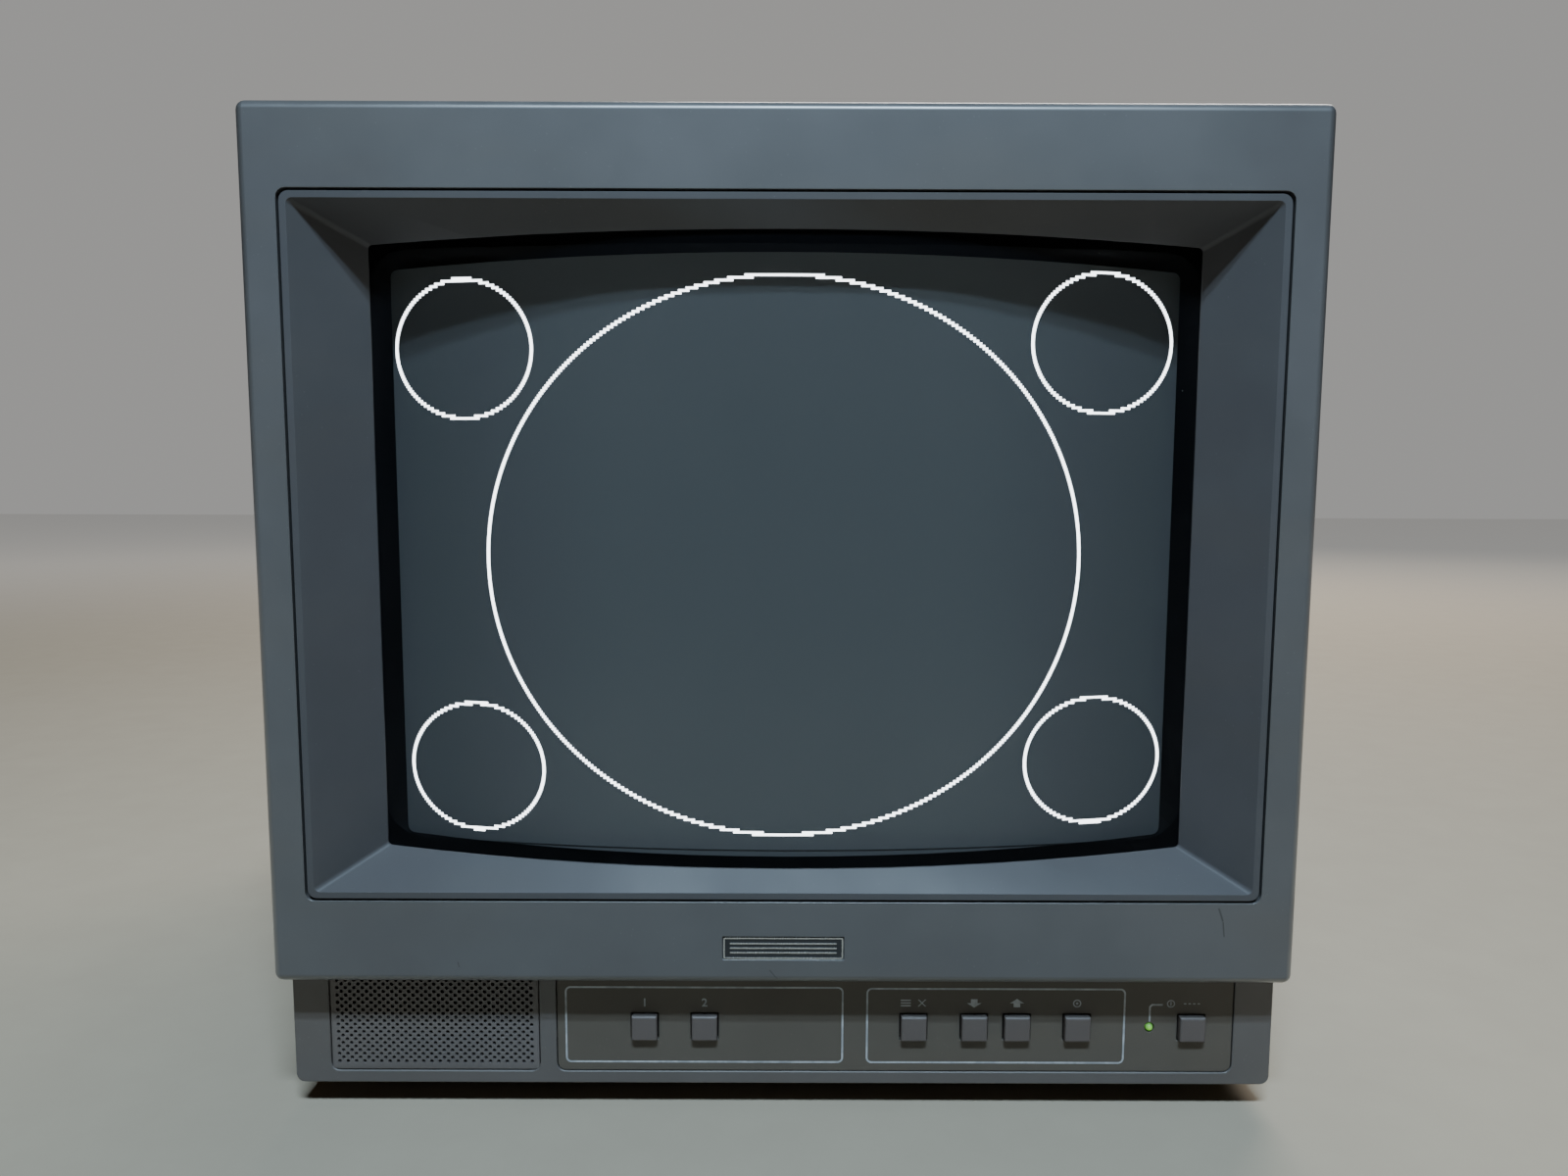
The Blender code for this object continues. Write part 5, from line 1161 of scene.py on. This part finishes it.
def resistorShape():
    body = [(0.55, -3.1), (1.25, -2.9), (1.35, -2.2), (1.05, -1.6)]
    body += [(radius, -distance) for radius, distance in reversed(body)]
    work, lift = bmesh.new(), 1.7 * mm
    lathe(work, body, 10, "X", lift)
    for way in (-1, 1):
        lathe(work, [(0.3, way * 3.0), (0.3, way * 4.9)], 5, "X", lift)
        leg(work, way * 4.7 * mm, 0, 1.9 * mm)
    return work


def canShape():
    body = [(3.0, 0.0), (3.1, 0.3), (3.1, 1.2), (2.85, 1.6), (3.1, 2.0), (3.1, 8.4)]
    body += [(2.8, 8.9), (2.2, 8.9), (2.1, 8.75)]
    work = bmesh.new()
    lathe(work, body, 14)
    return work


def diskShape():
    work = bmesh.new()
    lathe(work, ((1.6, -1.3), (2.6, -0.9), (2.9, 0.0), (2.6, 0.9), (1.6, 1.3)), 12, "X", 4.2 * mm)
    for way in (-1, 1):
        leg(work, 0, way * 1.6 * mm, 2.4 * mm)
    return work


def makeBoardParts():
    sizes = {
        "board": 1.6 * mm, "block": 0.3 * mm,  # a board's thickness, and the least height of a block on it
        "spacing": 12.5 * mm, "canSpacing": 13 * mm, "density": 12000.0,
        # left, right, front and back of each field, in mm
        "resistorFields": ((-46, 148, -79, -50), (-46, 148, -27, 17), (-152, -72, -79, -42)),
        "canFields": ((-46, 72, 42, 132), (-152, -92, 0, 36), (-152, -92, 76, 134)),
        "diskFields": ((84, 146, 40, 74), (-86, -72, -2, 26)),
    }
    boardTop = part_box("main_board")[0].z + sizes["board"]
    for node in ("main_board", "power_board"):  # the blocks on the boards are dark, unlike the boards
        board = bpy.data.objects[node + "_look"]
        board.data.materials.append(blackPlastic)
        for face in board.data.polygons:
            if face.center.z > boardTop + sizes["block"]:
                face.material_index = 1
    sand = mouldedPlastic("resistorBody", (0.34, 0.24, 0.13), 0.42, grain=0.3, mottle=0.2, dust=0.1)
    sleeve = mouldedPlastic("canSleeve", (0.018, 0.03, 0.075), 0.30, grain=0.5, dust=0.1)
    ceramic = mouldedPlastic("ceramicDisk", (0.42, 0.20, 0.05), 0.35, grain=0.4, mottle=0.15, dust=0.1)
    kinds = (
        ("board_resistors", resistorShape(), "resistorFields", "spacing", 3, sand, "circuit_board"),
        ("board_capacitors", canShape(), "canFields", "canSpacing", 8, sleeve, "black_plastic"),
        ("board_disks", diskShape(), "diskFields", "spacing", 5, ceramic, "circuit_board"),
    )
    tree = scatterTree()
    for name, shape, fields, spacing, seed, finish, slot in kinds:
        piece = built(shape, name + "_one")
        field = bmesh.new()
        for x0, x1, y0, y1 in sizes[fields]:
            corners = [(x0, y0), (x1, y0), (x1, y1), (x0, y1)]
            field.faces.new([field.verts.new((x * mm, y * mm, boardTop)) for x, y in corners])
        field = built(field, name + "_field")
        made = tree.grow(name, {
            "Piece": piece, "Field": field, "Spacing": sizes[spacing], "Density": sizes["density"],
            "Seed": seed, "Finish": finish,
        })
        shadeSmooth(made.data, 40)
        for spare in (piece, field):
            bpy.data.objects.remove(spare, do_unlink=True)
        addPiece(made, "root", slot)
        print(name, "made:", len(made.data.polygons), "faces")


# Stage


def makeFloor():
    floor = bmesh.new()
    bmesh.ops.create_grid(floor, x_segments=1, y_segments=1, size=4.0)
    floor = built(floor, "studio_floor")
    # the paper's emission is painted light: a glow that grows towards the far floor
    paper = Finish("palePaper", (0.40, 0.34, 0.26), 0.85, Specular_IOR_Level=0.2, Emission_Strength=0.34)
    fibre = paper.noise(35, 4, 0.6)
    paper.drive("Base Color", paper.between(fibre, (0.38, 0.32, 0.245, 1), (0.42, 0.36, 0.275, 1)))
    x, y, _ = paper.axes()
    away = paper.ease((x * x + y * y).root(), 0.9, 2.6)  # painted light: the far floor glows, standing in for light from the rest of the room
    paper.drive("Emission Color", paper.between(away, (0, 0, 0, 1), (0.80, 0.79, 0.77, 1)))
    floor.data.materials.append(paper.material)


def makeWorld():
    world = bpy.data.worlds.new("studio")
    bpy.context.scene.world = world
    world.use_nodes = True
    studio = Tree(world.node_tree)  # dim for the light it gives, pale where it is seen
    seen = studio.node("ShaderNodeLightPath", output="Is Camera Ray")
    dim = studio.node("ShaderNodeBackground", inputs={"Color": (1.0, 0.80, 0.55, 1), "Strength": 0.022})
    pale = studio.node("ShaderNodeBackground", inputs={"Color": (0.80, 0.79, 0.77, 1), "Strength": 0.42})
    both = studio.node("ShaderNodeMixShader", inputs={0: seen, 1: dim, 2: pale})
    feed(studio.tree, studio.tree.nodes["World Output"].inputs["Surface"], both)


def makeLamps():
    bank = dict(target=(0, -0.2, 0.2), across=0.60, deep=0.048, power=22.6, colour=(0.60, 0.81, 1.0))
    fill = dict(target=(0, 0, 0.15), across=1.6, deep=1.2, power=46, colour=(1.0, 0.98, 0.95))

    def lamp(name, spot, target, across, deep, power, colour):
        light = bpy.data.lights.new(name, "AREA")
        light.shape, light.size, light.size_y = "RECTANGLE", across, deep
        light.energy, light.color = power, colour
        holder = bpy.data.objects.new(name, light)
        bpy.context.scene.collection.objects.link(holder)
        holder.location = spot
        holder.rotation_mode = "QUATERNION"
        holder.rotation_quaternion = (Vector(target) - Vector(spot)).to_track_quat("-Z", "Y")

    lamp("keyLow", (0.02, -1.168, 1.568), **bank)
    lamp("keyHigh", (0.02, -1.088, 1.616), **bank)
    lamp("rearFill", (0.5, 1.5, 1.5), **fill)


def makeCamera():
    view = {
        "lens": 27.0, "sensor": 36.0, "clip": 0.01,
        "aside": -0.0005, "ahead": 0.3813, "height": 0.2291,  # metres; ahead is measured from the front
        "tilt": 83.665, "turn": -0.05, "roll": 0.195,  # degrees
    }
    camera = bpy.data.objects.new("camera", bpy.data.cameras.new("camera"))
    bpy.context.scene.collection.objects.link(camera)
    camera.data.lens, camera.data.sensor_width = view["lens"], view["sensor"]
    camera.data.clip_start = view["clip"]
    low, _ = cadBounds
    turned = Matrix.Identity(4)
    for angle, axis in (("turn", "Z"), ("tilt", "X"), ("roll", "Z")):
        turned = turned @ Matrix.Rotation(math.radians(view[angle]), 4, axis)
    camera.matrix_world = Matrix.Translation((view["aside"], low[1] - view["ahead"], view["height"])) @ turned
    bpy.context.scene.camera = camera


makeCamera()
makeHead()
makePlate()
makeBase()
makeGrille()
makeMarks()
makeKeys()
makeGlass()
makePhosphor()
makeCabinet()
makeScrews()
makeSockets()
makeInside()
makeBoardParts()
makeFloor()
makeWorld()
makeLamps()
